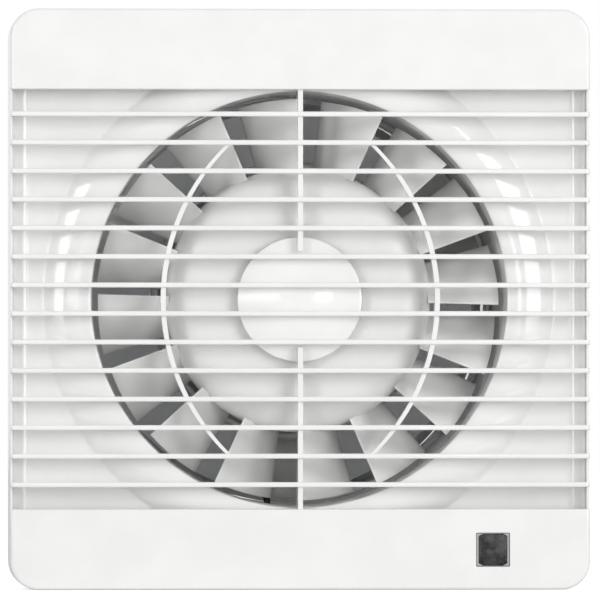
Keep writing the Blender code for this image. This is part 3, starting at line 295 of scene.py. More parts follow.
# Glass-epoxy board under green solder mask: the glass cloth shows as a faint weave.
BOARD_LAMINATE = Banded(
    "glass_epoxy_solder_mask", "#1E5A35", "#174B2B", 0.38, relief=0.006, axis="X", pitch=0.9, tone=4.0
)
# Black PBT, moulded: dense black with a fine matt grain.
BLACK_PBT = Plastic("black_pbt_moulded", "#1C1C1D", "#232324", 0.42, grain=0.3, relief=0.005)
# Blue PBT of the small trimmer body.
BLUE_PBT = Plastic("blue_pbt_moulded", "#1F4FA0", "#1B4690", 0.36, grain=0.3, relief=0.004)
# Yellow polyester film capacitor, dipped and shiny with slight waves.
YELLOW_FILM = Plastic("yellow_polyester_box", "#D9A420", "#CF9A18", 0.3, grain=1.4, relief=0.01)
# Zinc-plated steel: cool grey, slightly blotchy passivation.
ZINC = Brushed("zinc_plated_steel", "#C9CBCC", "#B9BCC0", 0.3, 0.07, 1.0, grain=0.25, relief=0.003, tone=3.0)
# Die-cast aluminium, tumbled: pale matt grey with small pits.
CAST_ALUMINIUM = Finish(
    "cast_aluminium_tumbled", "#B9BABC", "#ACADB0", 0.46, 0.07, 1.0, grain=0.6, relief=0.02, tone=5.0
)
# Stacked electrical sheet, punched: dark grey edges in thin layers. Real sheets are 0.5 mm.
LAMINATION = Banded(
    "punched_lamination_stack", "#6F7176", "#5B5D62", 0.42, 0.08, 1.0, relief=0.05, tone=4.0
)
# Enamelled copper wire: deep orange-brown under clear enamel.
COPPER = Finish(
    "enamelled_copper_wire", "#B5622F", "#A2531F", 0.28, 0.06, 1.0, grain=0.6, relief=0.004, tone=3.0
)
# Bare copper bar of the shading rings, slightly dull.
COPPER_BAR = Brushed(
    "bare_copper_bar", "#B8714A", "#A5623D", 0.36, 0.06, 1.0, grain=0.3, relief=0.005, tone=2.0
)
# Oil-soaked sintered bronze: dark gold with open pores.
BRONZE = Finish(
    "sintered_bronze_porous", "#8E7346", "#7A6038", 0.5, 0.08, 1.0, grain=0.25, relief=0.02, tone=2.0
)
# Turned brass, bright with fine turning marks.
BRASS = Brushed("turned_brass", "#C9A85A", "#BD9B4C", 0.28, 0.06, 1.0, grain=0.2, relief=0.004, tone=3.0)
# Tinned steel can, drawn: bright soft grey.
TIN = Brushed("drawn_tinned_can", "#C6C6C3", "#B8B8B5", 0.26, 0.05, 1.0, grain=0.4, relief=0.004, tone=3.0)
# Black PVC sleeve of the lead: soft satin black.
PVC_SLEEVE = Plastic("black_pvc_sleeve", "#1B1B1C", "#222223", 0.46, grain=0.5, relief=0.006)


def eased(corners: Array, radii: float | list[float], steps: int = 4, closed: bool = False) -> Array:
    """Rounds the corners of a flat outline.

    Each corner becomes an arc tangent to both its sides. With u and v the unit vectors to the neighbours and
    t the tangent length, the arc runs from C + t u to C + t v about O = C + (u + v) t / (1 + u.v), and its
    points are the spherical blend of the two radii.

    Args:
        corners: points of the outline, one row each.
        radii: arc radius of every corner, or one for all; it is cut down where a side is too short.
        steps: number of pieces in each arc.
        closed: whether the last point joins the first.

    Returns:
        The rounded outline, steps + 1 points for each corner and the two bare ends of an open one.
    """
    corners = np.asarray(corners, float)
    radii = np.broadcast_to(np.asarray(radii, float), len(corners))
    if not closed:
        inner = _arcs(corners[1:-1], corners[:-2], corners[2:], radii[1:-1], steps)
        return np.vstack([corners[:1], inner, corners[-1:]])
    return _arcs(corners, np.roll(corners, 1, 0), np.roll(corners, -1, 0), radii, steps)


def _arcs(corner: Array, before: Array, after: Array, radii: Array, steps: int) -> Array:
    """Arcs at all the corners at once; see eased."""
    to_before, to_after = before - corner, after - corner
    long_before = np.linalg.norm(to_before, axis=1, keepdims=True)
    long_after = np.linalg.norm(to_after, axis=1, keepdims=True)
    u, v = to_before / long_before, to_after / long_after
    cosine = np.clip((u * v).sum(1, keepdims=True), -0.9999, 0.9999)
    half = np.arccos(cosine) / 2.0
    tangent = np.minimum(radii[:, None] / np.tan(half), 0.49 * np.minimum(long_before, long_after))
    centre = corner + (u + v) * tangent / (1.0 + cosine)
    a, b = corner + u * tangent - centre, corner + v * tangent - centre
    sweep = np.pi - 2.0 * half
    share = np.linspace(0.0, 1.0, steps + 1)[None, :, None]
    weight_a = np.sin((1.0 - share) * sweep[:, None]) / np.sin(sweep)[:, None]
    weight_b = np.sin(share * sweep[:, None]) / np.sin(sweep)[:, None]
    points = centre[:, None] + weight_a * a[:, None] + weight_b * b[:, None]
    return points.reshape(-1, corner.shape[1])


def smooth_curve(points: Array, steps: int) -> Array:
    """Carries a smooth curve through points.

    Args:
        points: points to pass through, one row each.
        steps: pieces between two of them.

    Returns:
        The Catmull-Rom curve: between b and c, with a before and d after them, its value at t is half of
        2b + (c - a) t + (2a - 5b + 4c - d) t^2 + (3b - a - 3c + d) t^3.
    """
    points = np.asarray(points, float)
    padded = np.vstack([2 * points[:1] - points[1:2], points, 2 * points[-1:] - points[-2:-1]])
    a, b, c, d = padded[:-3, None], padded[1:-2, None], padded[2:-1, None], padded[3:, None]
    t = (np.arange(steps) / steps)[None, :, None]
    curve = 0.5 * (2 * b + (c - a) * t + (2 * a - 5 * b + 4 * c - d) * t**2 + (3 * b - a - 3 * c + d) * t**3)
    return np.vstack([curve.reshape(-1, points.shape[1]), points[-1:]])


def box_outline(x: Pair, z: Pair, radii: float | list[float], steps: int = 5) -> Array:
    """Rectangle outline in (x, z) with round corners, from the lower left corner anticlockwise."""
    corners = np.array([(x[0], z[0]), (x[1], z[0]), (x[1], z[1]), (x[0], z[1])])
    return eased(corners, radii, steps, closed=True)


def rings_along_y(outlines: list[Array], depths: list[float]) -> Array:
    """Stacks (x, z) outlines of equal length at their depths, as rings of (x, y, z) points."""
    stack = np.stack(outlines)
    y = np.broadcast_to(np.asarray(depths, float)[:, None], stack.shape[:2])
    return np.stack([stack[..., 0], y, stack[..., 1]], axis=-1)


def four_spots(x: float, z: float) -> list[Pair]:
    """The four places (x, z) that mirror each other about both axes."""
    return [(side * x, level * z) for side in (-1, 1) for level in (-1, 1)]


def tube_wall(
    outside: float, inside: float, front: float, back: float, rounding: float, steps: int = 4
) -> Array:
    """Profile (radius, y) of a plain ring or sleeve with rounded edges."""
    corners = [(outside, front), (outside, back), (inside, back), (inside, front)]
    return eased(corners, rounding, steps, closed=True)


def square_radius(angle: Array, half: Array, corner: Array) -> Array:
    """Distance from the axis to a rounded square, at each angle.

    Along a side it is half / max(|cos|, |sin|). Where that point lies past the start of the corner arc, it
    is m + sqrt(m^2 - |C|^2 + corner^2), with C the arc's centre and m its share along the angle.

    Args:
        angle: angles about the axis.
        half: half the width of the square.
        corner: radius of its corners.

    Returns:
        One distance for each angle.
    """
    cosine, sine = np.abs(np.cos(angle)), np.abs(np.sin(angle))
    side = half / np.maximum(cosine, sine)
    start = half - corner
    along = start * (cosine + sine)
    arc = along + np.sqrt(np.maximum(along**2 - 2 * start**2 + corner**2, 0.0))
    return np.where(side * np.minimum(cosine, sine) > start, arc, side)


class Form:
    """One visible piece, collected from closed surfaces in millimetres."""

    def __init__(self, name: str) -> None:
        """Starts an empty piece of that name."""
        self.name = name
        self.points: list[Array] = []
        self.faces: list[tuple[int, ...]] = []
        self.count = 0

    def surface(
        self, grid: Array, rows_close: bool = False, columns_close: bool = True, caps: bool = True
    ) -> None:
        """Adds the faces of a grid of points.

        Args:
            grid: points as (rows, columns, 3).
            rows_close: whether the last row joins the first.
            columns_close: whether the last column joins the first.
            caps: whether flat faces close the first and last row of an open stack.
        """
        rows, columns = grid.shape[:2]
        number = self.count + np.arange(rows * columns).reshape(rows, columns)
        down = np.roll(number, -1, 0) if rows_close else number[1:]
        here = number if rows_close else number[:-1]
        if columns_close:
            quads = np.stack([here, np.roll(here, -1, 1), np.roll(down, -1, 1), down], -1)
        else:
            quads = np.stack([here[:, :-1], here[:, 1:], down[:, 1:], down[:, :-1]], -1)
        self.faces += list(map(tuple, quads.reshape(-1, 4).tolist()))
        if caps and not rows_close:
            self.faces += [tuple(number[0].tolist()), tuple(number[-1][::-1].tolist())]
        self.points.append(grid.reshape(-1, 3))
        self.count += rows * columns

    def turned(self, profile: Array, segments: int = 64, centre: Pair = (0.0, 0.0)) -> None:
        """Adds a shape of revolution about an axis along Y.

        Args:
            profile: (radius, y) points; off the axis the profile closes on itself, and a radius of nought
                makes a pole.
            segments: steps around the axis.
            centre: (x, z) of the axis.
        """
        profile = np.asarray(profile, float)
        angle = np.linspace(0.0, TAU, segments, endpoint=False)[None]
        radius, y = profile[:, :1], profile[:, 1:2]
        grid = np.stack(
            [centre[0] + radius * np.cos(angle), y + 0 * angle, centre[1] + radius * np.sin(angle)], -1
        )
        on_axis = min(profile[0, 0], profile[-1, 0]) < 1e-6
        self.surface(grid, rows_close=not on_axis, caps=False)

    def upright(self, profile: Array, centre: Pair, segments: int = 32) -> None:
        """Adds a shape of revolution about an axis along Z.

        Args:
            profile: (radius, z) points, starting and ending on the axis.
            centre: (x, y) of the axis.
            segments: steps around the axis.
        """
        profile = np.asarray(profile, float)
        angle = np.linspace(0.0, TAU, segments, endpoint=False)[None]
        radius, z = profile[:, :1], profile[:, 1:2]
        grid = [centre[0] + radius * np.cos(angle), centre[1] + radius * np.sin(angle), z + 0 * angle]
        self.surface(np.stack(grid, -1), caps=False)

    def mesh(self) -> Object:
        """Makes the object: doubles merged, faces turned outwards.

        Returns:
            The object in metres at the origin.
        """
        mesh = bpy.data.meshes.new(self.name)
        mesh.from_pydata((np.vstack(self.points) * MM).tolist(), [], self.faces)
        work = bmesh.new()
        work.from_mesh(mesh)
        bmesh.ops.remove_doubles(work, verts=work.verts, dist=2e-6)
        bmesh.ops.recalc_face_normals(work, faces=work.faces)
        work.to_mesh(mesh)
        work.free()
        return placed(self.name, mesh)

    def take(self, piece: Object) -> None:
        """Adds the mesh of an object that was worked on elsewhere, and removes that object."""
        mesh = piece.data
        flat = np.empty(len(mesh.vertices) * 3)
        mesh.vertices.foreach_get("co", flat)
        self.points.append(flat.reshape(-1, 3) / MM)
        self.faces += [tuple(v + self.count for v in face.vertices) for face in mesh.polygons]
        self.count += len(mesh.vertices)
        bpy.data.objects.remove(piece)


def carve(piece: Object, cutter: Object) -> Object:
    """Takes the cutter's space out of a piece for good.

    Args:
        piece: closed mesh that is cut.
        cutter: closed mesh that goes away afterwards.

    Returns:
        The piece.
    """
    change = piece.modifiers.new("carve", "BOOLEAN")
    change.operation = "DIFFERENCE"
    change.solver = "EXACT"
    change.object = cutter
    graph = bpy.context.evaluated_depsgraph_get()
    cut_mesh = bpy.data.meshes.new_from_object(piece.evaluated_get(graph))
    piece.modifiers.clear()
    piece.data = cut_mesh
    bpy.data.objects.remove(cutter)
    return piece


def dress(
    piece: Object,
    body: Body,
    finish: Finish,
    nodes: tuple[str, ...] = (),
    rounding: float = 0.0,
    sharp: float = 38.0,
) -> Object:
    """Gives a piece its shading, finish and body, and hides the solids it stands for.

    Args:
        piece: finished mesh.
        body: body that the piece moves with.
        finish: surface finish.
        nodes: solids that the piece stands for.
        rounding: radius of its moulded edges, in millimetres, or nought for none.
        sharp: angle in degrees above which an edge stays crisp.

    Returns:
        The piece.
    """
    mesh = piece.data
    mesh.materials.clear()
    mesh.materials.append(finish.material())
    mesh.shade_smooth()
    if rounding:
        change = piece.modifiers.new("moulded edges", "BEVEL")
        change.width = rounding * MM
        change.segments = 2
        change.limit_method = "ANGLE"
        change.angle_limit = math.radians(sharp)
        change.harden_normals = True
    else:
        mesh.set_sharp_from_angle(angle=math.radians(sharp))
    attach(piece, body.value)
    if nodes:
        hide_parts(*nodes)
    log.info("%s: %d faces, rides on %s", piece.name, len(mesh.polygons), body.value)
    return piece


@dataclass
class Grille:
    """Louvred push-on grille: two bands, fourteen slats, a rib, two curved braces and a disc."""

    half: float = 102.5
    corner: float = 10.0
    edge: float = 1.2
    front: float = -33.0
    band: float = 28.5
    band_wall: float = 2.0
    slats: int = 14
    slat_thick: float = 1.8
    slat_back: float = -25.5
    slat_end_gap: float = 8.6
    slat_turn: float = 1.5
    skirt_front: float = -28.4
    skirt_back: float = -10.3
    skirt_outside: float = 102.4
    skirt_inside: float = 101.5
    rib_thick: float = 1.75
    rib_front: float = -31.0
    rib_foot: tuple[float, float, float] = (71.0, 72.6, -20.6)
    arc_radius: float = 76.3
    arc_crossing: float = 48.5
    arc_thick: Pair = (1.75, 1.1)
    disc_radius: float = 22.0
    disc_rise: float = 1.7
    disc_apex: float = -28.1
    disc_wall: float = 1.6
    window: tuple[float, float, float] = (68.0, -88.4, 12.0)
    peg: tuple[float, float, float] = (84.5, 80.0, 2.3)
    peg_end: float = -12.0

    def slat_height(self, index: int | Array) -> float | Array:
        """Height of the middle of a slat above the axis."""
        pitch = (2 * (self.half - self.band) - 2 * self.slat_end_gap) / (self.slats - 1)
        return (index - (self.slats - 1) / 2) * pitch

    def band_piece(self, side: int) -> Form:
        """Plain band above or below the slats: a shallow lid with a soft outer edge.

        Rings of one rectangle outline, each moved inwards by its inset; the outer corners are round.

        Args:
            side: 1 for the upper band and -1 for the lower one.

        Returns:
            The band as a closed form.
        """
        lip = np.linspace(0.0, np.pi / 2, 6)
        wall, edge = self.band_wall, self.edge
        inset = np.concatenate([[wall, wall, 0.0], edge * (1 - np.cos(lip)), [edge + 0.15, edge + 0.5]])
        front, back = self.front, self.slat_back
        depth = np.concatenate([[front + wall, back, back], front + edge * (1 - np.sin(lip)), [front, front]])
        inner_share = np.concatenate([[0.8, 0.8, 0.0], np.full(len(lip) + 2, 0.35)])
        outlines = []
        for step, share in zip(inset, inner_share):
            far, near = self.half - step, self.half - self.band + step * share
            radius = max(self.corner - step, 2.0)
            outline = box_outline((-far, far), (near, far), [0.6, 0.6, radius, radius], steps=10)
            outlines.append(outline * (1.0, side))
        form = Form("band")
        form.surface(rings_along_y(outlines, depth.tolist()))
        return form

    def add_slats(self, form: Form) -> None:
        """Slats that run from side to side and turn back softly at their ends.

        The section is a rounded strip in (y, z). Its front edge lies at the front plane, and over the last
        corner length c of the half width it moves back by c - sqrt(c^2 - d^2), d being the distance past
        the start of the corner.
        """
        turn = self.slat_turn
        reach = np.concatenate([[0.0], np.sin(np.linspace(0, np.pi / 2, 7))]) * turn
        x = np.concatenate([-(self.half - turn + reach[::-1]), [0.0], self.half - turn + reach])
        past = np.maximum(np.abs(x) - (self.half - turn), 0.0)
        set_back = turn - np.sqrt(np.maximum(turn**2 - past**2, 0.0))
        half = self.slat_thick / 2
        back = self.slat_back + 0.6
        section = eased(
            [(back, -half * 0.8), (back, half * 0.8), (self.front, half), (self.front, -half)],
            [0.1, 0.1, 0.5, 0.5],
            closed=True,
        )
        share = (back - section[:, 0]) / (back - self.front)
        y = section[None, :, 0] + set_back[:, None] * share[None]
        for index in range(self.slats):
            z = section[:, 1] + self.slat_height(index)
            grid = np.stack(np.broadcast_arrays(x[:, None], y, z[None]), -1)
            form.surface(grid)

    def add_skirt(self, form: Form) -> None:
        """Thin wall around all four sides behind the bands and the slat ends."""
        corner = self.corner - (self.half - self.skirt_outside)
        wall = self.skirt_outside - self.skirt_inside
        outside, inside, front = self.skirt_outside, self.skirt_inside, self.skirt_front
        sizes = [outside - 0.1, outside, outside, inside, inside, inside + 0.15]
        corners = [corner] * 3 + [corner - wall] * 3
        depths = [front, front + 0.25, self.skirt_back, self.skirt_back, front + 0.5, front]
        outlines = [box_outline((-s, s), (-s, s), radius, steps=10) for s, radius in zip(sizes, corners)]
        form.surface(rings_along_y(outlines, depths), rows_close=True)

    def add_rib(self, form: Form) -> None:
        """Upright rib above and below the disc, with a foot that reaches into the inlet."""
        half = self.rib_thick / 2
        top, start = self.half - self.band + 0.6, self.disc_radius - 5.0
        foot_start, foot_end, foot_depth = self.rib_foot
        back = self.slat_back - 0.2
        outline = np.array(
            [
                (self.rib_front, start), (back, start), (back, foot_start), (foot_depth, foot_start),
                (foot_depth, foot_end), (back, foot_end), (back, top), (self.rib_front, top),
            ]
        )
        for side in (-1, 1):
            y, z = outline[:, 0], side * outline[:, 1]
            form.surface(np.stack([np.stack([np.full_like(y, x), y, z], -1) for x in (-half, half)]))

    def add_braces(self, form: Form) -> None:
        """Two curved braces, thick in the middle and thin at their ends.

        At the share s from -1 to 1 along the arc, the half thickness is that of the middle plus s^2 times
        the difference to the ends.
        """
        reach = math.asin(abs(self.slat_height(1)) / self.arc_radius)
        share = np.linspace(-1.0, 1.0, 49)
        middle, end = self.arc_thick
        half = (middle + (end - middle) * share**2) / 2
        back = self.slat_back + 0.25
        for side in (-1, 1):
            centre = side * (self.arc_crossing - self.arc_radius)
            corners = []
            for offset, y in ((half, self.rib_front), (half, back), (-half, back), (-half, self.rib_front)):
                radius = self.arc_radius + offset
                x = centre + side * radius * np.cos(reach * share)
                corners.append(np.stack([x, np.full_like(x, y), radius * np.sin(reach * share)], -1))
            form.surface(np.stack(corners, 1))

    def add_disc(self, form: Form) -> None:
        """Convex disc in the middle: a cap of the sphere with that rise, and a short skirt."""
        ball = (self.disc_radius**2 + self.disc_rise**2) / (2 * self.disc_rise)
        radius = np.linspace(0.0, self.disc_radius, 26)
        front = np.stack([radius, self.disc_apex + ball - np.sqrt(ball**2 - radius**2)], -1)
        inner = np.linspace(self.disc_radius - self.disc_wall, 0.0, 14)
        back = np.stack([inner, self.disc_apex + self.disc_wall + ball - np.sqrt(ball**2 - inner**2)], -1)
        rim = self.slat_back - 0.4
        edge = self.disc_radius
        sides = [(edge, front[-1, 1] + 0.15), (edge, rim), (edge - self.disc_wall, rim)]
        front[-1, 0] -= 0.12
        form.turned(np.vstack([front, sides, back]), 128)

    def build(self) -> None:
        """Builds the grille moulding and dresses it."""
        lower = self.band_piece(-1).mesh()
        x, z, size = self.window
        hole = Form("window_cut")
        outline = box_outline((x - size / 2, x + size / 2), (z - size / 2, z + size / 2), 0.25, steps=2)
        hole.surface(rings_along_y([outline, outline], [self.front - 3.0, self.front + 3.0]))
        carve(lower, hole.mesh())
        form = Form("louvre_grille")
        form.take(lower)
        form.take(self.band_piece(1).mesh())
        self.add_skirt(form)
        self.add_rib(form)
        self.add_braces(form)
        self.add_disc(form)
        px, pz, radius = self.peg
        root = self.front + 1.0
        peg = eased([(0, root), (radius, root), (radius, self.peg_end), (0, self.peg_end)], 0.6)
        for spot in four_spots(px, pz):
            form.turned(peg, 28, spot)
        self.add_slats(form)
        dress(form.mesh(), Body.GRILLE, WHITE_ABS, ("front_grille",))


@dataclass
class SensorWindow:
    """Square frame, painted grey for the shade on the window's walls, with its smoked lens in the lower band.
    """

    centre: Pair = (68.0, -88.4)
    half: float = 5.85
    front: float = -32.65
    back: float = -26.0
    opening: Pair = (5.0, 5.75)
    notch: Pair = (2.0, 1.0)
    lens_rise: float = 0.3

    def outline(self, half_x: float, half_z: float, corner: float) -> Array:
        """Rounded rectangle about the window's centre."""
        x, z = self.centre
        return box_outline((x - half_x, x + half_x), (z - half_z, z + half_z), corner, steps=9)

    def clipped(self, half_x: float, half_z: float, share: float = 1.0) -> Array:
        """Upright rectangle about the window's centre whose four corners are cut off and softened.

        Args:
            half_x: half its width.
            half_z: half its height.
            share: size of the cut corners as a share of the notch.
        """
        x, z = self.notch[0] * share, self.notch[1] * share
        quarter = np.array([(half_x, half_z - z), (half_x - x, half_z)])
        corners = [-quarter, quarter[::-1] * (1, -1), quarter, quarter[::-1] * (-1, 1)]
        return eased(np.vstack(corners), 0.3 * share, steps=4, closed=True) + self.centre

    def build(self) -> None:
        """Builds frame and lens."""
        x, z = self.opening
        frame_form = Form("sensor_frame")
        sizes = [(self.half - 0.15, self.front), (self.half, self.front + 0.15), (self.half, self.back)]
        outlines = [self.outline(size, size, 0.3) for size, _ in sizes]
        depths = [depth for _, depth in sizes] + [self.back, self.front + 0.8, self.front]
        outlines += [self.clipped(x, z), self.clipped(x, z), self.clipped(x + 0.1, z + 0.08)]
        frame_form.surface(rings_along_y(outlines, depths), rows_close=True)
        # The frame's grey colour is painted shade on the walls of the window.
        dress(frame_form.mesh(), Body.GRILLE, SHADE_GREY_ABS, ("sensor_bezel",))

        half_x, half_z = x - 0.12, z - 0.12
        rim = self.front + 0.15 + self.lens_rise
        back = rim + 1.6
        outlines, depths = [self.clipped(half_x - 1.0, half_z - 1.0)] * 2, [back - 1.2, back]
        outlines.append(self.clipped(half_x, half_z))
        depths.append(back)
        for share in np.linspace(0.0, 1.0, 14):
            size = 1.0 - 0.95 * share**2
            outlines.append(self.clipped(half_x * size, half_z * size, size))
            depths.append(rim - self.lens_rise * share)
        lens = Form("sensor_window_lens")
        lens.surface(rings_along_y(outlines, depths))
        # The lens's lighter cloudy blotches are painted into its colour.
        dress(lens.mesh(), Body.GRILLE, SMOKED_PC, ("sensor_lens",))


@dataclass
class Impeller:
    """Hub with sixteen cambered blades at an uneven pitch that repeats every half turn."""

    tip: float = 71.1
    hub: float = 47.0
    hub_wall: float = 2.0
    blade_front: float = -19.4
    blade_depth: float = 18.4
    blade_sector: float = 17.5
    blade_thick: float = 1.5
    pitch_steps: tuple[float, ...] = (24.3, 22.9, 22.2, 21.6, 20.4, 20.6, 24.4, 23.6)
    first_blade: float = 0.5
    hub_front: float = -22.4
    shoulder: float = 11.0
    drop: float = 7.6
    bore: float = 2.8
    boss: float = 6.0
    boss_end: float = 1.9
    recess: float = 3.6
    lead_edge: float = 0.045
    trail_edge: float = 0.04

    def add_hub(self, form: Form) -> None:
        """Turned hub with a soft shoulder, open at the back, with its boss for the shaft."""
        face = self.hub_front + 0.9
        quarter = np.linspace(np.pi / 2, 0.0, 22)
        turn = self.hub - self.shoulder
        shoulder = np.stack(
            [turn + self.shoulder * np.cos(quarter), face + self.drop - self.drop * np.sin(quarter)], -1
        )
        inner = shoulder[::-1] + (-self.hub_wall, self.hub_wall * 0.9)
        recess = self.hub_front + self.recess
        front = eased(
            [
                (self.bore, recess), (self.bore + 5.0, recess), (self.bore + 5.6, self.hub_front),
                (self.bore + 9.0, self.hub_front), (turn, face),
            ],
            0.5,
        )
        back = np.array(
            [
                (self.boss + 4.0, recess + self.hub_wall), (self.boss, self.hub_front + self.hub_wall + 5.4),
                (self.boss, self.boss_end), (self.bore, self.boss_end),
            ]
        )
        rim = np.array([(self.hub, -0.5), (self.hub - 0.5, 0.0), (self.hub - self.hub_wall, 0.0)])
        form.turned(np.vstack([front, shoulder[1:], rim, inner, back]), 160)

    def add_blade(self, form: Form, front_angle: float) -> None:
        """One blade, as rings of its radial section carried round the axis.

        At the share s of the sector the angle is front - sector * s and the face lies at front + depth *
        (0.55 s + 0.45 s^2). The thickness follows a half ellipse over the first and last few percent, so
        both edges are round, and the root runs out into the hub wall.

        Args:
            form: piece that takes the blade.
            front_angle: angle of its leading edge, clockwise from the top, in degrees.
        """
        lead_rows, trail_rows = [0.0, 0.004, 0.012, 0.025, self.lead_edge], [0.98, 0.992, 1.0]
        share = np.concatenate([lead_rows, np.linspace(0.07, 1.0 - self.trail_edge, 22), trail_rows])
        depth = self.blade_depth - self.blade_thick
        y = self.blade_front + depth * (0.55 * share + 0.45 * share**2)
        full = self.blade_thick * (0.62 + 0.38 * np.minimum(share * 4.0, 1.0))
        lead = np.sqrt(np.clip(1 - (1 - np.clip(share / self.lead_edge, 0, 1)) ** 2, 0.02, 1.0))
        trail = np.sqrt(np.clip(1 - np.clip((share - 1.0) / self.trail_edge + 1.0, 0, 1) ** 2, 0.04, 1.0))
        half = full * lead * trail / 2
        middle = y + self.blade_thick * 0.5
        radii = np.concatenate([np.linspace(self.hub - self.hub_wall / 2, self.tip - 0.4, 9), [self.tip]])
        thin = np.ones(len(radii))
        thin[-1] = 0.55
        angle = np.radians(front_angle - self.blade_sector * share)
        across = np.concatenate([radii, radii[::-1]])
        side = np.concatenate([-thin, thin[::-1]])
        x = across[None] * np.sin(angle)[:, None]
        z = across[None] * np.cos(angle)[:, None]
        depth_grid = middle[:, None] + half[:, None] * side[None]
        form.surface(np.stack([x, depth_grid, z], -1))

    def build(self) -> None:
        """Builds the moulding and dresses it with the parts on its shaft."""
        form = Form("impeller_moulding")
        self.add_hub(form)
        turn = 360.0 / (2 * sum(self.pitch_steps))
        angles = self.first_blade + turn * np.cumsum([0.0, *self.pitch_steps, *self.pitch_steps[:-1]])
        for angle in angles:
            self.add_blade(form, float(angle))
        dress(form.mesh(), Body.IMPELLER, IMPELLER_ABS, ("impeller",), sharp=50.0)


@dataclass
class Base:
    """Square base with its front panel, rounded inlet with a short sleeve, and electronics tray."""

    half: float = 102.5
    corner: float = 10.0
    front: float = -33.0
    parting: float = -10.0
    panel: float = -21.0
    wall: float = 2.0
    rim_step: float = 101.42
    rim: float = -24.6
    cove: float = 95.4
    sleeve: Pair = (73.0, 74.5)
    sleeve_end: float = -8.0
    throat: float = 73.8
    lip: float = -24.6
    bell: float = 90.6
    tray_x: Pair = (-70.0, 80.0)
    tray_z: Pair = (-96.6, -79.3)
    tray_floor: float = -4.0
    tray_wall: float = 1.6
    boss_at: float = 91.0
    screw_hole: Pair = (2.3, 4.2)
    screw_seat: float = -5.0
    peg: Pair = (84.5, 80.0)
    socket: float = 2.6
    socket_end: float = -11.0
    clamp_x: float = -56.0
    post: float = 1.5
    cable_hole: tuple[float, float, float] = (-64.0, 5.2, 3.6)
    lead_hole: Pair = (2.4, 1.6)
    segments: int = 480
    lead_x: float = -10.0

    def inlet_profile(self) -> Array:
        """Inside of the sleeve, round the lip and down the bell to the panel, as (size, y) points.

        The lip and bell are a smooth curve through points given as steps outwards from the throat and back
        from the lip's plane. Three flat rings after it keep the panel's shading even.
        """
        inside = self.sleeve[0]
        steps = [
            (-0.2, 1.2), (-0.05, 0.5), (0.4, 0.12), (1.8, 0.01), (4.4, 0.0), (6.6, 0.16),
            (8.6, 0.5), (10.6, 1.02), (12.6, 1.7), (14.8, 2.6),
        ]
        start = [(inside, self.sleeve_end + 0.3), (inside, self.lip + 9.0)]
        end = [(self.bell - 0.25, self.panel - 0.08)]
        curve = smooth_curve(np.vstack([start, np.array(steps) + (self.throat, self.lip), end]), 6)
        flat = self.bell + np.array([0.15, 0.6, 1.6])
        return np.vstack([curve, np.stack([flat, np.full(3, self.panel)], -1)])

    def side_profile(self) -> Array:
        """Edge of the panel, its rim, the side walls and the hollow back, as (half width, y) points.

        At the share s of its width the cove between panel and rim has risen by s^2.2 of the rim's height.
        """
        share = np.linspace(0.0, 1.0, 9)
        cove = self.cove + (self.rim_step - 0.3 - self.cove) * share
        cove = np.stack([cove, self.panel + (self.rim - self.panel) * share**2.2], -1)
        step, half, wall, parting = self.rim_step, self.half, self.wall, self.parting
        walls = eased(
            [
                (step - 0.2, self.rim), (step, self.rim + 0.1), (step, parting), (half, parting), (half, 0.0),
                (half - wall, 0.0), (half - wall, parting + wall + 1.9), (step - wall, parting + wall + 0.4),
                (step - wall, self.panel + wall), (94.0, self.panel + wall),
            ],
            [0.0, 0.0, 0.3, 0.4, 0.4, 0.3, 0.5, 0.5, 0.6, 0.0],
        )
        return np.vstack([cove, walls])

    def sleeve_profile(self) -> Array:
        """Back of the panel and outside of the sleeve, as (radius, y) points."""
        (inside, outside), panel, end = self.sleeve, self.panel, self.sleeve_end
        corners = [
            (self.bell - 2.0, panel + self.wall), (self.throat + 7.0, panel + self.wall + 0.2),
            (outside + 1.0, panel + 5.0), (outside, panel + 7.0), (outside, end), (inside + 0.3, end),
        ]
        return eased(corners, [0.0, 2.0, 1.0, 1.0, 0.3, 0.0], steps=3)

    def main_shell(self) -> Object:
        """Tray, panel, inlet and sleeve as one wall.

        The three profiles are carried once around the axis, one after the other: their rings are circles up
        to the edge of the inlet, rounded squares over the base, and circles again outside the sleeve.

        Returns:
            The closed shell.
        """
        angle = np.linspace(0.0, TAU, self.segments, endpoint=False)
        profiles = [(self.inlet_profile(), False), (self.side_profile(), True), (self.sleeve_profile(), False)]
        rings = []
        for profile, square in profiles:
            size = profile[:, :1]
            radius = np.broadcast_to(size, (len(size), len(angle)))
            if square:
                radius = square_radius(angle[None], size, self.corner - 0.55 * (self.half - size))
            y = np.broadcast_to(profile[:, 1:2], radius.shape)
            rings.append(np.stack([radius * np.cos(angle), y, radius * np.sin(angle)], -1))
        form = Form("base_shell")
        form.surface(np.concatenate(rings), rows_close=True)
        return form.mesh()

    def tray(self) -> Object:
        """Open box behind the panel that holds the electronics."""
        x, z, wall = self.tray_x, self.tray_z, self.tray_wall
        inside = box_outline(x, z, 1.0)
        outside = box_outline((x[0] - wall, x[1] + wall), (z[0] - wall, z[1] + wall), 2.4)
        depths = [self.tray_floor, self.panel + 0.05, self.panel + 0.05, self.tray_floor + wall]
        form = Form("tray_box")
        form.surface(rings_along_y([inside, inside, outside, outside], depths))
        return form.mesh()

    def holes(self) -> list[tuple[list, Pair]]:
        """Profiles and centres of the round holes through the panel: wall screws and peg sockets."""
        (hole, head), seat, out = self.screw_hole, self.screw_seat, self.front
        screw = [(0, out), (head, out), (head, seat), (hole, seat), (hole, 5.0), (0, 5.0)]
        socket = [(0, out), (self.socket, out), (self.socket, 0.0), (0, 0.0)]
        screws = [(screw, spot) for spot in four_spots(self.boss_at, self.boss_at)]
        return screws + [(socket, spot) for spot in four_spots(*self.peg)]

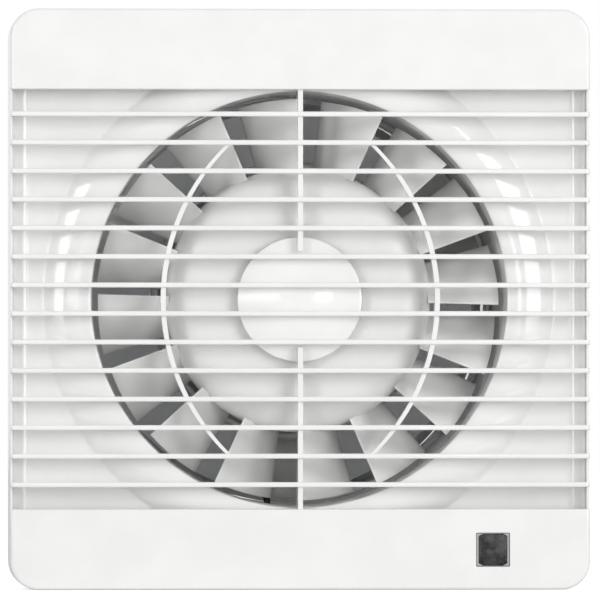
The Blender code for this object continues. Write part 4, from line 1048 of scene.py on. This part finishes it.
    def add_bosses(self, form: Form) -> None:
        """Screw bosses, peg sockets and the posts of the tray, each a turned sleeve."""
        (hole, head), seat, front = self.screw_hole, self.screw_seat, self.panel + 0.6
        wall = head + 1.4
        screw = [(wall, front), (wall, 0.0), (hole, 0.0), (hole, seat), (head, seat), (head, front)]
        screw = eased(screw, 0.2, 2, closed=True)
        socket = tube_wall(self.socket + 1.5, self.socket, front, self.socket_end, 0.2, 2)
        for screw_spot, peg_spot in zip(four_spots(self.boss_at, self.boss_at), four_spots(*self.peg)):
            form.turned(screw, 40, screw_spot)
            form.turned(socket, 32, peg_spot)
        (left, right), (low, high) = self.tray_x, self.tray_z
        floor, hole, clamp_top, board_back = self.tray_floor + 0.5, self.post, -8.0, -6.3
        for x in (left + 2.2, right - 2.2):
            post = [(2.7, self.panel), (2.7, floor), (hole, floor), (hole, self.panel)]
            form.turned(post, 28, (x, low + 2.2))
        for z in (low + 3.2, high - 3.0):
            post = [(2.4, clamp_top), (2.4, floor), (hole, floor), (hole, clamp_top)]
            form.turned(post, 28, (self.clamp_x, z))
        for spot in ((-46.0, low + 4.0), (12.0, (low + high) / 2), (70.0, high - 4.0)):
            form.turned([(0, board_back), (2.4, board_back), (2.4, floor), (0, floor)], 28, spot)

    def build(self) -> None:
        """Builds the base moulding and dresses it."""
        shell = self.main_shell()
        seat = Form("cover_seat_cut")
        (left, right), (low, high) = self.tray_x, self.tray_z
        around = box_outline((left - 1.9, right + 1.9), (low - 5.0, high + 1.9), 0.2, 2)
        seat.surface(rings_along_y([around, around], [self.front, self.panel - 0.002]))
        carve(shell, seat.mesh())
        cuts = Form("panel_cuts")
        for profile, spot in self.holes():
            cuts.turned(profile, 32, spot)
        pocket = box_outline((left - 0.05, right + 0.05), (low - 0.05, high + 0.05), 1.0, 3)
        cuts.surface(rings_along_y([pocket, pocket], [self.front + 3.0, self.tray_floor]))
        carve(shell, cuts.mesh())
        box = self.tray()
        floor_cuts = Form("floor_cuts")
        (x, below, cable), (lead_below, lead) = self.cable_hole, self.lead_hole
        floor_cuts.turned([(0, -8), (cable, -8), (cable, 5), (0, 5)], 36, (x, high - below))
        floor_cuts.turned([(0, -8), (lead, -8), (lead, 5), (0, 5)], 24, (self.lead_x, high - lead_below))
        carve(box, floor_cuts.mesh())
        form = Form("fan_base")
        form.take(shell)
        form.take(box)
        self.add_bosses(form)
        dress(form.mesh(), Body.BASE, WHITE_ABS, ("housing",), sharp=35.0)


@dataclass
class Duct:
    """Round spigot with the motor mount in it and the back-draught shutter in its end."""

    tube: float = 73.0
    tube_outside: float = 74.5
    tube_end: float = 97.0
    collar: Pair = (74.8, 76.4)
    collar_ends: Pair = (-14.0, -2.2)
    tube_start: float = -7.7
    lead: Pair = (-10.0, 2.4)
    lead_hole: float = 1.6
    ring: Pair = (72.7, 71.2)
    seat: float = 42.0
    seat_wall: float = 2.5
    mount_back: float = 56.6
    cup: float = 50.0
    cup_depth: float = 12.0
    vanes: int = 3
    vane_sector: float = 29.0
    vane_depth: float = 16.0
    vane_thick: float = 2.2
    motor_screw_x: float = 20.5
    post_front: float = 32.4
    shutter: Pair = (89.0, 92.6)
    shutter_inside: float = 69.7
    spine: float = 3.4
    hinge: Pair = (2.0, 94.2)
    hinge_half: float = 61.0
    barrel: float = 1.3
    pin: float = 0.6
    bite: float = 3.0
    flap_front: float = 93.05
    flap_thick: float = 1.0
    flap_radius: float = 71.1

    def spigot(self) -> None:
        """Duct tube with the collar that fits over the inlet's sleeve, and the lead's way through it."""
        inside, outside = self.collar
        front, back = self.collar_ends
        profile = eased(
            [
                (self.tube, self.tube_start), (self.tube, self.tube_end), (self.tube_outside, self.tube_end),
                (self.tube_outside, back + 1.0), (outside, back), (outside, front), (inside, front),
                (inside, self.tube_start),
            ],
            [0.2, 0.4, 0.4, 0.4, 0.4, 0.3, 0.3, 0.2],
            closed=True,
        )
        form = Form("spigot_tube")
        form.turned(profile, 240)
        tube = form.mesh()
        cut = Form("lead_way")
        hole = self.lead_hole
        slot = np.array([(-hole, -hole), (hole, -hole), (hole, hole), (-hole, hole)])
        rings = [
            np.stack([slot[:, 0] + self.lead[0], slot[:, 1] + self.lead[1], np.full(4, z)], -1)
            for z in (-self.tube_outside - 1.5, -self.tube + 2.0)
        ]
        cut.surface(np.stack(rings))
        carve(tube, cut.mesh())
        dress(tube, Body.BASE, WHITE_ABS, ("duct_spigot",))

    def add_cup(self, form: Form) -> None:
        """Round cup behind the impeller whose floor carries the motor, with the motor's two posts."""
        seat, wall, cup = self.seat, self.seat_wall, self.cup
        profile = eased(
            [
                (0.0, seat), (cup - wall, seat), (cup - wall, seat - self.cup_depth),
                (cup - 1.0, seat - self.cup_depth), (cup, seat - self.cup_depth + 2.0),
                (cup, self.mount_back), (cup - wall, self.mount_back), (cup - wall, seat + wall),
                (0.0, seat + wall),
            ],
            0.6,
        )
        form.turned(profile, 144)
        for x in (-self.motor_screw_x, self.motor_screw_x):
            form.turned(tube_wall(4.2, 2.1, self.post_front, seat + 0.6, 0.3, 2), 36, (x, 0.0))

    def add_vanes(self, form: Form) -> None:
        """Swept guide vanes from the cup to the mount's ring.

        At the share s of the sector the front face lies at seat + 0.8 + (depth - 5) s^1.4.
        """
        share = np.linspace(0.0, 1.0, 25)
        y = self.seat + 0.8 + (self.vane_depth - 5.0) * share**1.4
        radii = np.linspace(self.cup - self.seat_wall / 2, sum(self.ring) / 2, 6)
        across = np.concatenate([radii, radii[::-1]])
        back = np.concatenate([np.zeros(6), np.full(6, self.vane_thick)])
        for index in range(self.vanes):
            middle = 360.0 / self.vanes * (index + 0.5)
            angle = np.radians(middle + self.vane_sector * (share - 0.5))[:, None]
            grid = np.stack([across * np.sin(angle), y[:, None] + back, across * np.cos(angle)], -1)
            form.surface(grid)

    def mount(self) -> None:
        """Motor mount: cup, vanes and the ring that sits in the tube."""
        form = Form("guide_vane_mount")
        outside, inside = self.ring
        form.turned(tube_wall(outside, inside, self.seat, self.mount_back, 0.35), 200)
        self.add_cup(form)
        self.add_vanes(form)
        dress(form.mesh(), Body.BASE, WHITE_ABS, ("motor_mount",), sharp=35.0)

    def shutter_ring(self) -> None:
        """Seat ring with its spine, and the lugs and pins that carry the flaps."""
        front, back = self.shutter
        outside, inside = self.ring[0], self.shutter_inside
        form = Form("shutter_seat_ring")
        form.turned(tube_wall(outside, inside, front, back, 0.3), 200)
        reach = (outside + inside) / 2
        start = self.hinge_half + CLEAR
        spine = box_outline((-self.spine, self.spine), (-reach, reach), 0.2, 2)
        form.surface(rings_along_y([spine, spine], [front + 0.4, back - 0.4]))
        x, y = self.hinge
        for level in (-1, 1):
            z = sorted((level * start, level * (start + 2.4)))
            lug = box_outline((-x - self.barrel, x + self.barrel), (z[0], z[1]), 0.3, 3)
            form.surface(rings_along_y([lug, lug], [back - 1.0, y + self.barrel]))
            for side in (-1, 1):
                near, far = level * (start - self.bite), level * (start + 1.2)
                form.upright([(0, near), (self.pin, near), (self.pin, far), (0, far)], (side * x, y))
        dress(form.mesh(), Body.BASE, WHITE_ABS, ("shutter_frame",))

    def flap(self, side: int) -> None:
        """Half-disc flap with its hinge barrel.

        Args:
            side: -1 for the left flap as seen from the room, and 1 for the right one.
        """
        label = "left" if side < 0 else "right"
        x, y = self.hinge
        half = self.hinge_half
        notch = x + self.barrel + 0.9
        start = math.asin(notch / self.flap_radius)
        angle = np.linspace(start, np.pi - start, 64)
        rim = np.stack([self.flap_radius * np.sin(angle), self.flap_radius * np.cos(angle)], -1)
        root = np.array([(notch, -half), (x, -half), (x, half), (notch, half)])
        outline = np.vstack([root, rim]) * (side, 1.0)
        form = Form(f"draught_flap_{label}")
        form.surface(rings_along_y([outline, outline], [self.flap_front, self.flap_front + self.flap_thick]))
        end, bore, depth = half - 0.05, self.pin + CLEAR, half - self.bite
        profile = [
            (0, depth), (bore, depth), (bore, end), (self.barrel, end),
            (self.barrel, -end), (bore, -end), (bore, -depth), (0, -depth),
        ]
        form.upright(profile, (side * x, y))
        body = Body.SHUTTER_LEFT if side < 0 else Body.SHUTTER_RIGHT
        dress(form.mesh(), body, SHUTTER_ABS, (f"shutter_flap_{label}",), rounding=0.2)

    def build(self) -> None:
        """Builds the four kinds of piece."""
        self.spigot()
        self.mount()
        self.shutter_ring()
        self.flap(-1)
        self.flap(1)


@dataclass
class Screws:
    """Pan-head screws with a cross recess."""

    pitch: float = 0.8
    steps: int = 48
    arm: Pair = (0.16, 0.62)
    motor_x: float = 20.5
    motor_seat: float = 9.6
    cover_x: Pair = (-67.8, 77.8)
    cover_z: float = -94.4
    cover_seat: float = -23.4

    def screw(self, name: str, spot: Pair, seat: float, head: Pair, shank: Pair) -> Form:
        """One screw along +Y.

        The crown is a ring grid over the head, y = seat - height * (1 - 0.35 r^2), with r the share of the
        head's radius, less a cross-shaped recess that fades out over a quarter of a millimetre. The thread
        is the shank's radius less a ridge wave in y / pitch - angle / 360.

        Args:
            name: name of the piece.
            spot: (x, z) of its axis.
            seat: depth of the face under the head.
            head: radius and height of the head.
            shank: radius and length of the shank.

        Returns:
            The screw.
        """
        radius, height = head
        angle = np.linspace(0.0, TAU, self.steps, endpoint=False)[None]
        share = np.linspace(0.0, 1.0, 22)[:, None]
        r = share * radius * 0.97
        across = np.minimum(np.abs(r * np.cos(angle)), np.abs(r * np.sin(angle)))
        along = np.maximum(np.abs(r * np.cos(angle)), np.abs(r * np.sin(angle)))
        wide, long = self.arm
        arm = np.clip((wide * radius - across) / 0.25 + 0.5, 0.0, 1.0)
        arm = arm * np.clip((long * radius - along) / 0.5, 0.0, 1.0)
        crown = seat - height * (1.0 - 0.35 * share**2) + arm * height * 0.55
        length = np.arange(0.0, shank[1] - 0.6, self.pitch / 5)[:, None]
        wave = np.abs(((length / self.pitch - angle / TAU) % 1.0) * 2.0 - 1.0)
        thread_radius = shank[0] * (0.9 + 0.1 * wave)
        ring = np.ones((1, self.steps))
        rows = [
            (r + 0 * angle, crown), (ring * radius, ring * (seat - 0.25)),
            (ring * (radius - 0.1), ring * seat), (thread_radius, seat + length + 0 * angle),
            (ring * 0.0, ring * (seat + shank[1])),
        ]
        size = np.vstack([row[0] for row in rows])
        y = np.vstack([row[1] for row in rows])
        form = Form(name)
        grid = np.stack([spot[0] + size * np.cos(angle), y, spot[1] + size * np.sin(angle)], -1)
        form.surface(grid, caps=False)
        return form

    def build(self) -> None:
        """Builds the two motor screws and the two cover screws."""
        for side, label in ((-1, "left"), (1, "right")):
            spot = (side * self.motor_x, 0.0)
            motor = self.screw(f"motor_bolt_{label}", spot, self.motor_seat, (3.4, 2.4), (1.8, 35.9))
            dress(motor.mesh(), Body.BASE, ZINC, (f"motor_screw_{label}",))
        for x, label in zip(self.cover_x, ("left", "right")):
            spot = (x, self.cover_z)
            cover = self.screw(f"cover_fixing_{label}", spot, self.cover_seat, (2.6, 1.8), (1.2, 11.0))
            dress(cover.mesh(), Body.BASE, ZINC, (f"cover_screw_{label}",))


@dataclass
class Motor:
    """Wound coil of the shaded-pole motor; the motor's other solids keep their shape."""

    limb: tuple[float, float, float, float] = (12.0, 30.0, -34.0, -26.0)
    wire_half: float = 11.0
    inside: float = 1.6
    build_up: float = 3.8
    wire: float = 0.72

    def add_winding(self, form: Form) -> None:
        """Outer layer of turns around the limb.

        Each ring follows a rounded rectangle in (y, z). The distance from the limb is the build-up less
        half a wire plus half a wire times |sin(pi x / wire)|, so each turn stands proud as a round ridge.
        """
        x = np.linspace(-self.wire_half, self.wire_half, 1 + 6 * int(2 * self.wire_half / self.wire))
        ridge = np.abs(np.sin(np.pi * x / self.wire))
        outer = self.inside + self.build_up - self.wire / 2 * (1 - ridge)
        y0, y1, z0, z1 = self.limb
        rings = []
        for at, grow in [*zip(x, outer), (self.wire_half, self.inside), (-self.wire_half, self.inside)]:
            outline = box_outline((y0 - grow, y1 + grow), (z0 - grow, z1 + grow), 0.4 + grow * 0.6, steps=6)
            rings.append(np.column_stack([np.full(len(outline), at), outline]))
        form.surface(np.stack(rings), rows_close=True)

    def build(self) -> None:
        """Builds the winding and dresses it."""
        form = Form("coil_turns")
        self.add_winding(form)
        dress(form.mesh(), Body.BASE, COPPER, ("coil_winding",))


@dataclass(frozen=True)
class Lead:
    """Sleeved lead from the coil over the cup's rim, along the duct wall and through it to the board."""

    radius: float = 1.2
    x: float = -10.0
    inner: float = 70.9
    exit_y: float = 2.4
    floor_y: float = -4.0
    floor_z: float = -81.7
    board_y: float = -8.2

    def route(self) -> Array:
        """Points that the lead passes, the same as those of its solid.

        Returns:
            The points, one row each. The wall lies sqrt(inner^2 - x^2) below the axis at the lead's x.
        """
        wall = -math.sqrt(self.inner**2 - self.x**2)
        depth_height = [
            (8.0, -41.0), (20.0, -45.5), (26.5, -51.0), (30.0, -60.0), (27.0, wall + 2.0), (18.0, wall),
            (7.0, wall), (self.exit_y + 0.8, wall - 0.6), (self.exit_y, wall - 3.0),
            (self.exit_y - 0.8, self.floor_z + 2.6), (self.exit_y - 3.4, self.floor_z + 0.2),
            (self.floor_y, self.floor_z), (self.board_y - 1.0, self.floor_z),
            (self.board_y - 3.4, self.floor_z - 2.5), (self.board_y - 3.0, self.floor_z - 5.0),
            (self.board_y - self.radius - CLEAR, self.floor_z - 7.0),
        ]
        return np.array([(self.x, y, z) for y, z in depth_height])

    def build(self) -> None:
        """Builds the sleeve as a round curve."""
        points = smooth_curve(self.route(), 5) * MM
        curve = bpy.data.curves.new("lead_sleeve", "CURVE")
        curve.dimensions = "3D"
        curve.bevel_depth = self.radius * MM
        curve.bevel_resolution = 5
        curve.use_fill_caps = True
        spline = curve.splines.new("POLY")
        spline.points.add(len(points) - 1)
        for target, point in zip(spline.points, points):
            target.co = (*point, 1.0)
        curve.materials.append(PVC_SLEEVE.material())
        made = placed("lead_sleeve", curve)
        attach(made, Body.BASE.value)
        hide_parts("motor_lead")


@dataclass(frozen=True)
class SolidFinishes:
    """Finishes of the solids whose shape is kept."""

    finishes: tuple[tuple[Finish, tuple[str, ...]], ...] = (
        (BRASS, ("impeller_nut", "terminal_screw_1", "terminal_screw_2", "terminal_screw_3")),
        (ZINC, ("motor_shaft", "clamp_screw_lower", "clamp_screw_upper")),
        (LAMINATION, ("rotor_core", "stator_core")),
        (NYLON, ("coil_bobbin", "terminal_block", "cable_clamp", "timer_knob")),
        (COPPER_BAR, ("shading_ring_upper", "shading_ring_lower")),
        (CAST_ALUMINIUM, ("front_bearing_bracket", "rear_bearing_bracket")),
        (BRONZE, ("front_bearing", "rear_bearing")),
        (BOARD_LAMINATE, ("control_board",)),
        (TIN, ("pir_sensor",)),
        (BLACK_PBT, ("relay",)),
        (YELLOW_FILM, ("capacitor",)),
        (BLUE_PBT, ("timer_trimmer",)),
        (COVER_ABS, ("electronics_cover",)),
    )

    def apply(self) -> None:
        """Assigns each finish to the material slots of its solids."""
        for finish, names in self.finishes:
            for name in names:
                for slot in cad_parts[name].material_slots:
                    slot.material = finish.material()
                log.info("%s: solid kept, finish %s", name, finish.name)


@dataclass
class Studio:
    """Camera, softboxes, world and floor."""

    camera_at: tuple[float, float, float] = (-0.198, -3.5, -0.025)
    aim: tuple[float, float, float] = (-0.0003, -0.033, 0.0001)
    face_height: float = 0.205
    face_pixels: float = 581.0
    sensor: float = 36.0
    ambient: float = 0.56
    floor_at: float = -102.6
    floor_half: float = 4000.0
    floor_lift: float = 0.55
    boxes: list[tuple[str, tuple[float, float, float], Pair, float]] = field(
        default_factory=lambda: [
            ("left softbox", (-1.15, -1.6, 0.33), (0.4, 0.85), 7.0),
            ("right softbox", (1.1, -1.65, 0.33), (0.8, 0.85), 12.5),
            ("left strip", (-0.47, -2.0, 0.04), (0.75, 0.08), 0.6),
            ("right strip", (0.36, -2.0, 0.04), (0.16, 0.08), 0.3),
        ]
    )

    def camera(self) -> None:
        """Places the camera and frames the face as large as the photograph does.

        The camera stands left of the fan's axis and a little below it, and looks straight at the fan, with no
        lens shift, so that the fan stays in the picture when the camera is moved round it.
        """
        data = bpy.data.cameras.new("camera")
        made = placed("camera", data)
        made.location = self.camera_at
        way = Vector(self.aim) - Vector(self.camera_at)
        made.rotation_euler = way.to_track_quat("-Z", "Y").to_euler()
        data.sensor_width = self.sensor
        data.lens = self.sensor * way.length * self.face_pixels / (self.face_height * IMAGE_WIDTH)
        data.clip_end = 20.0
        bpy.context.scene.camera = made

    def lamps(self) -> None:
        """Hangs the softboxes, each facing the fan."""
        for name, place, size, power in self.boxes:
            data = bpy.data.lights.new(name, "AREA")
            data.shape = "RECTANGLE"
            data.size, data.size_y = size
            data.energy = power
            made = placed(name, data)
            made.location = place
            made.rotation_euler = (Vector(self.aim) - Vector(place)).to_track_quat("-Z", "Y").to_euler()

    def surroundings(self) -> None:
        """Even white world: full white to the camera, in reflections and through plastic, dimmer as light."""
        world = bpy.data.worlds.new("white_studio")
        bpy.context.scene.world = world
        tree = emptied(world)
        rays = node(tree, "ShaderNodeLightPath")
        seen = rays.outputs["Is Camera Ray"]
        for other in ("Is Glossy Ray", "Is Transmission Ray"):
            either = node(tree, "ShaderNodeMath", {0: seen, 1: rays.outputs[other]}, operation="MAXIMUM")
            seen = either.outputs[0]
        strength = node(tree, "ShaderNodeMapRange", {"Value": seen, "To Min": self.ambient, "To Max": 1.0})
        light = node(
            tree, "ShaderNodeBackground", {"Color": (1.0, 1.0, 1.0, 1.0), "Strength": strength.outputs[0]}
        )
        node(tree, "ShaderNodeOutputWorld", {"Surface": light.outputs[0]})

    def floor(self) -> None:
        """Plain pale floor that the fan stands on; to the camera it is lifted towards white."""
        form = Form("studio_floor")
        size, z = self.floor_half, self.floor_at
        corners = np.array([(-size, -size, z), (size, -size, z), (-size, size, z), (size, size, z)])
        form.surface(corners.reshape(2, 2, 3), columns_close=False, caps=False)
        made = form.mesh()
        look = bpy.data.materials.new("matt_paper_floor")
        tree = emptied(look)
        rays = node(tree, "ShaderNodeLightPath")
        paper = node(tree, "ShaderNodeBsdfPrincipled", {"Base Color": linear("#F2F2F2"), "Roughness": 0.9})
        seen = rays.outputs["Is Camera Ray"]
        lift = node(tree, "ShaderNodeMapRange", {"Value": seen, "To Min": 0.0, "To Max": self.floor_lift})
        glow = node(tree, "ShaderNodeEmission", {"Color": (1.0, 1.0, 1.0, 1.0), "Strength": lift.outputs[0]})
        both = node(tree, "ShaderNodeAddShader", {0: paper.outputs[0], 1: glow.outputs[0]})
        node(tree, "ShaderNodeOutputMaterial", {"Surface": both.outputs[0]})
        made.data.materials.append(look)

    def build(self) -> None:
        """Sets up the whole studio."""
        self.camera()
        self.lamps()
        self.surroundings()
        self.floor()
        bpy.context.scene.view_settings.view_transform = "Standard"


def main() -> None:
    """Builds the studio, then each sub-assembly in order."""
    logging.basicConfig(level=logging.INFO, format="%(name)s: %(message)s")
    Studio().build()
    for part in (Lead(), Base(), Duct(), Motor(), Screws(), Impeller(), Grille(), SensorWindow()):
        part.build()
    SolidFinishes().apply()


if __name__ == "__main__":
    main()
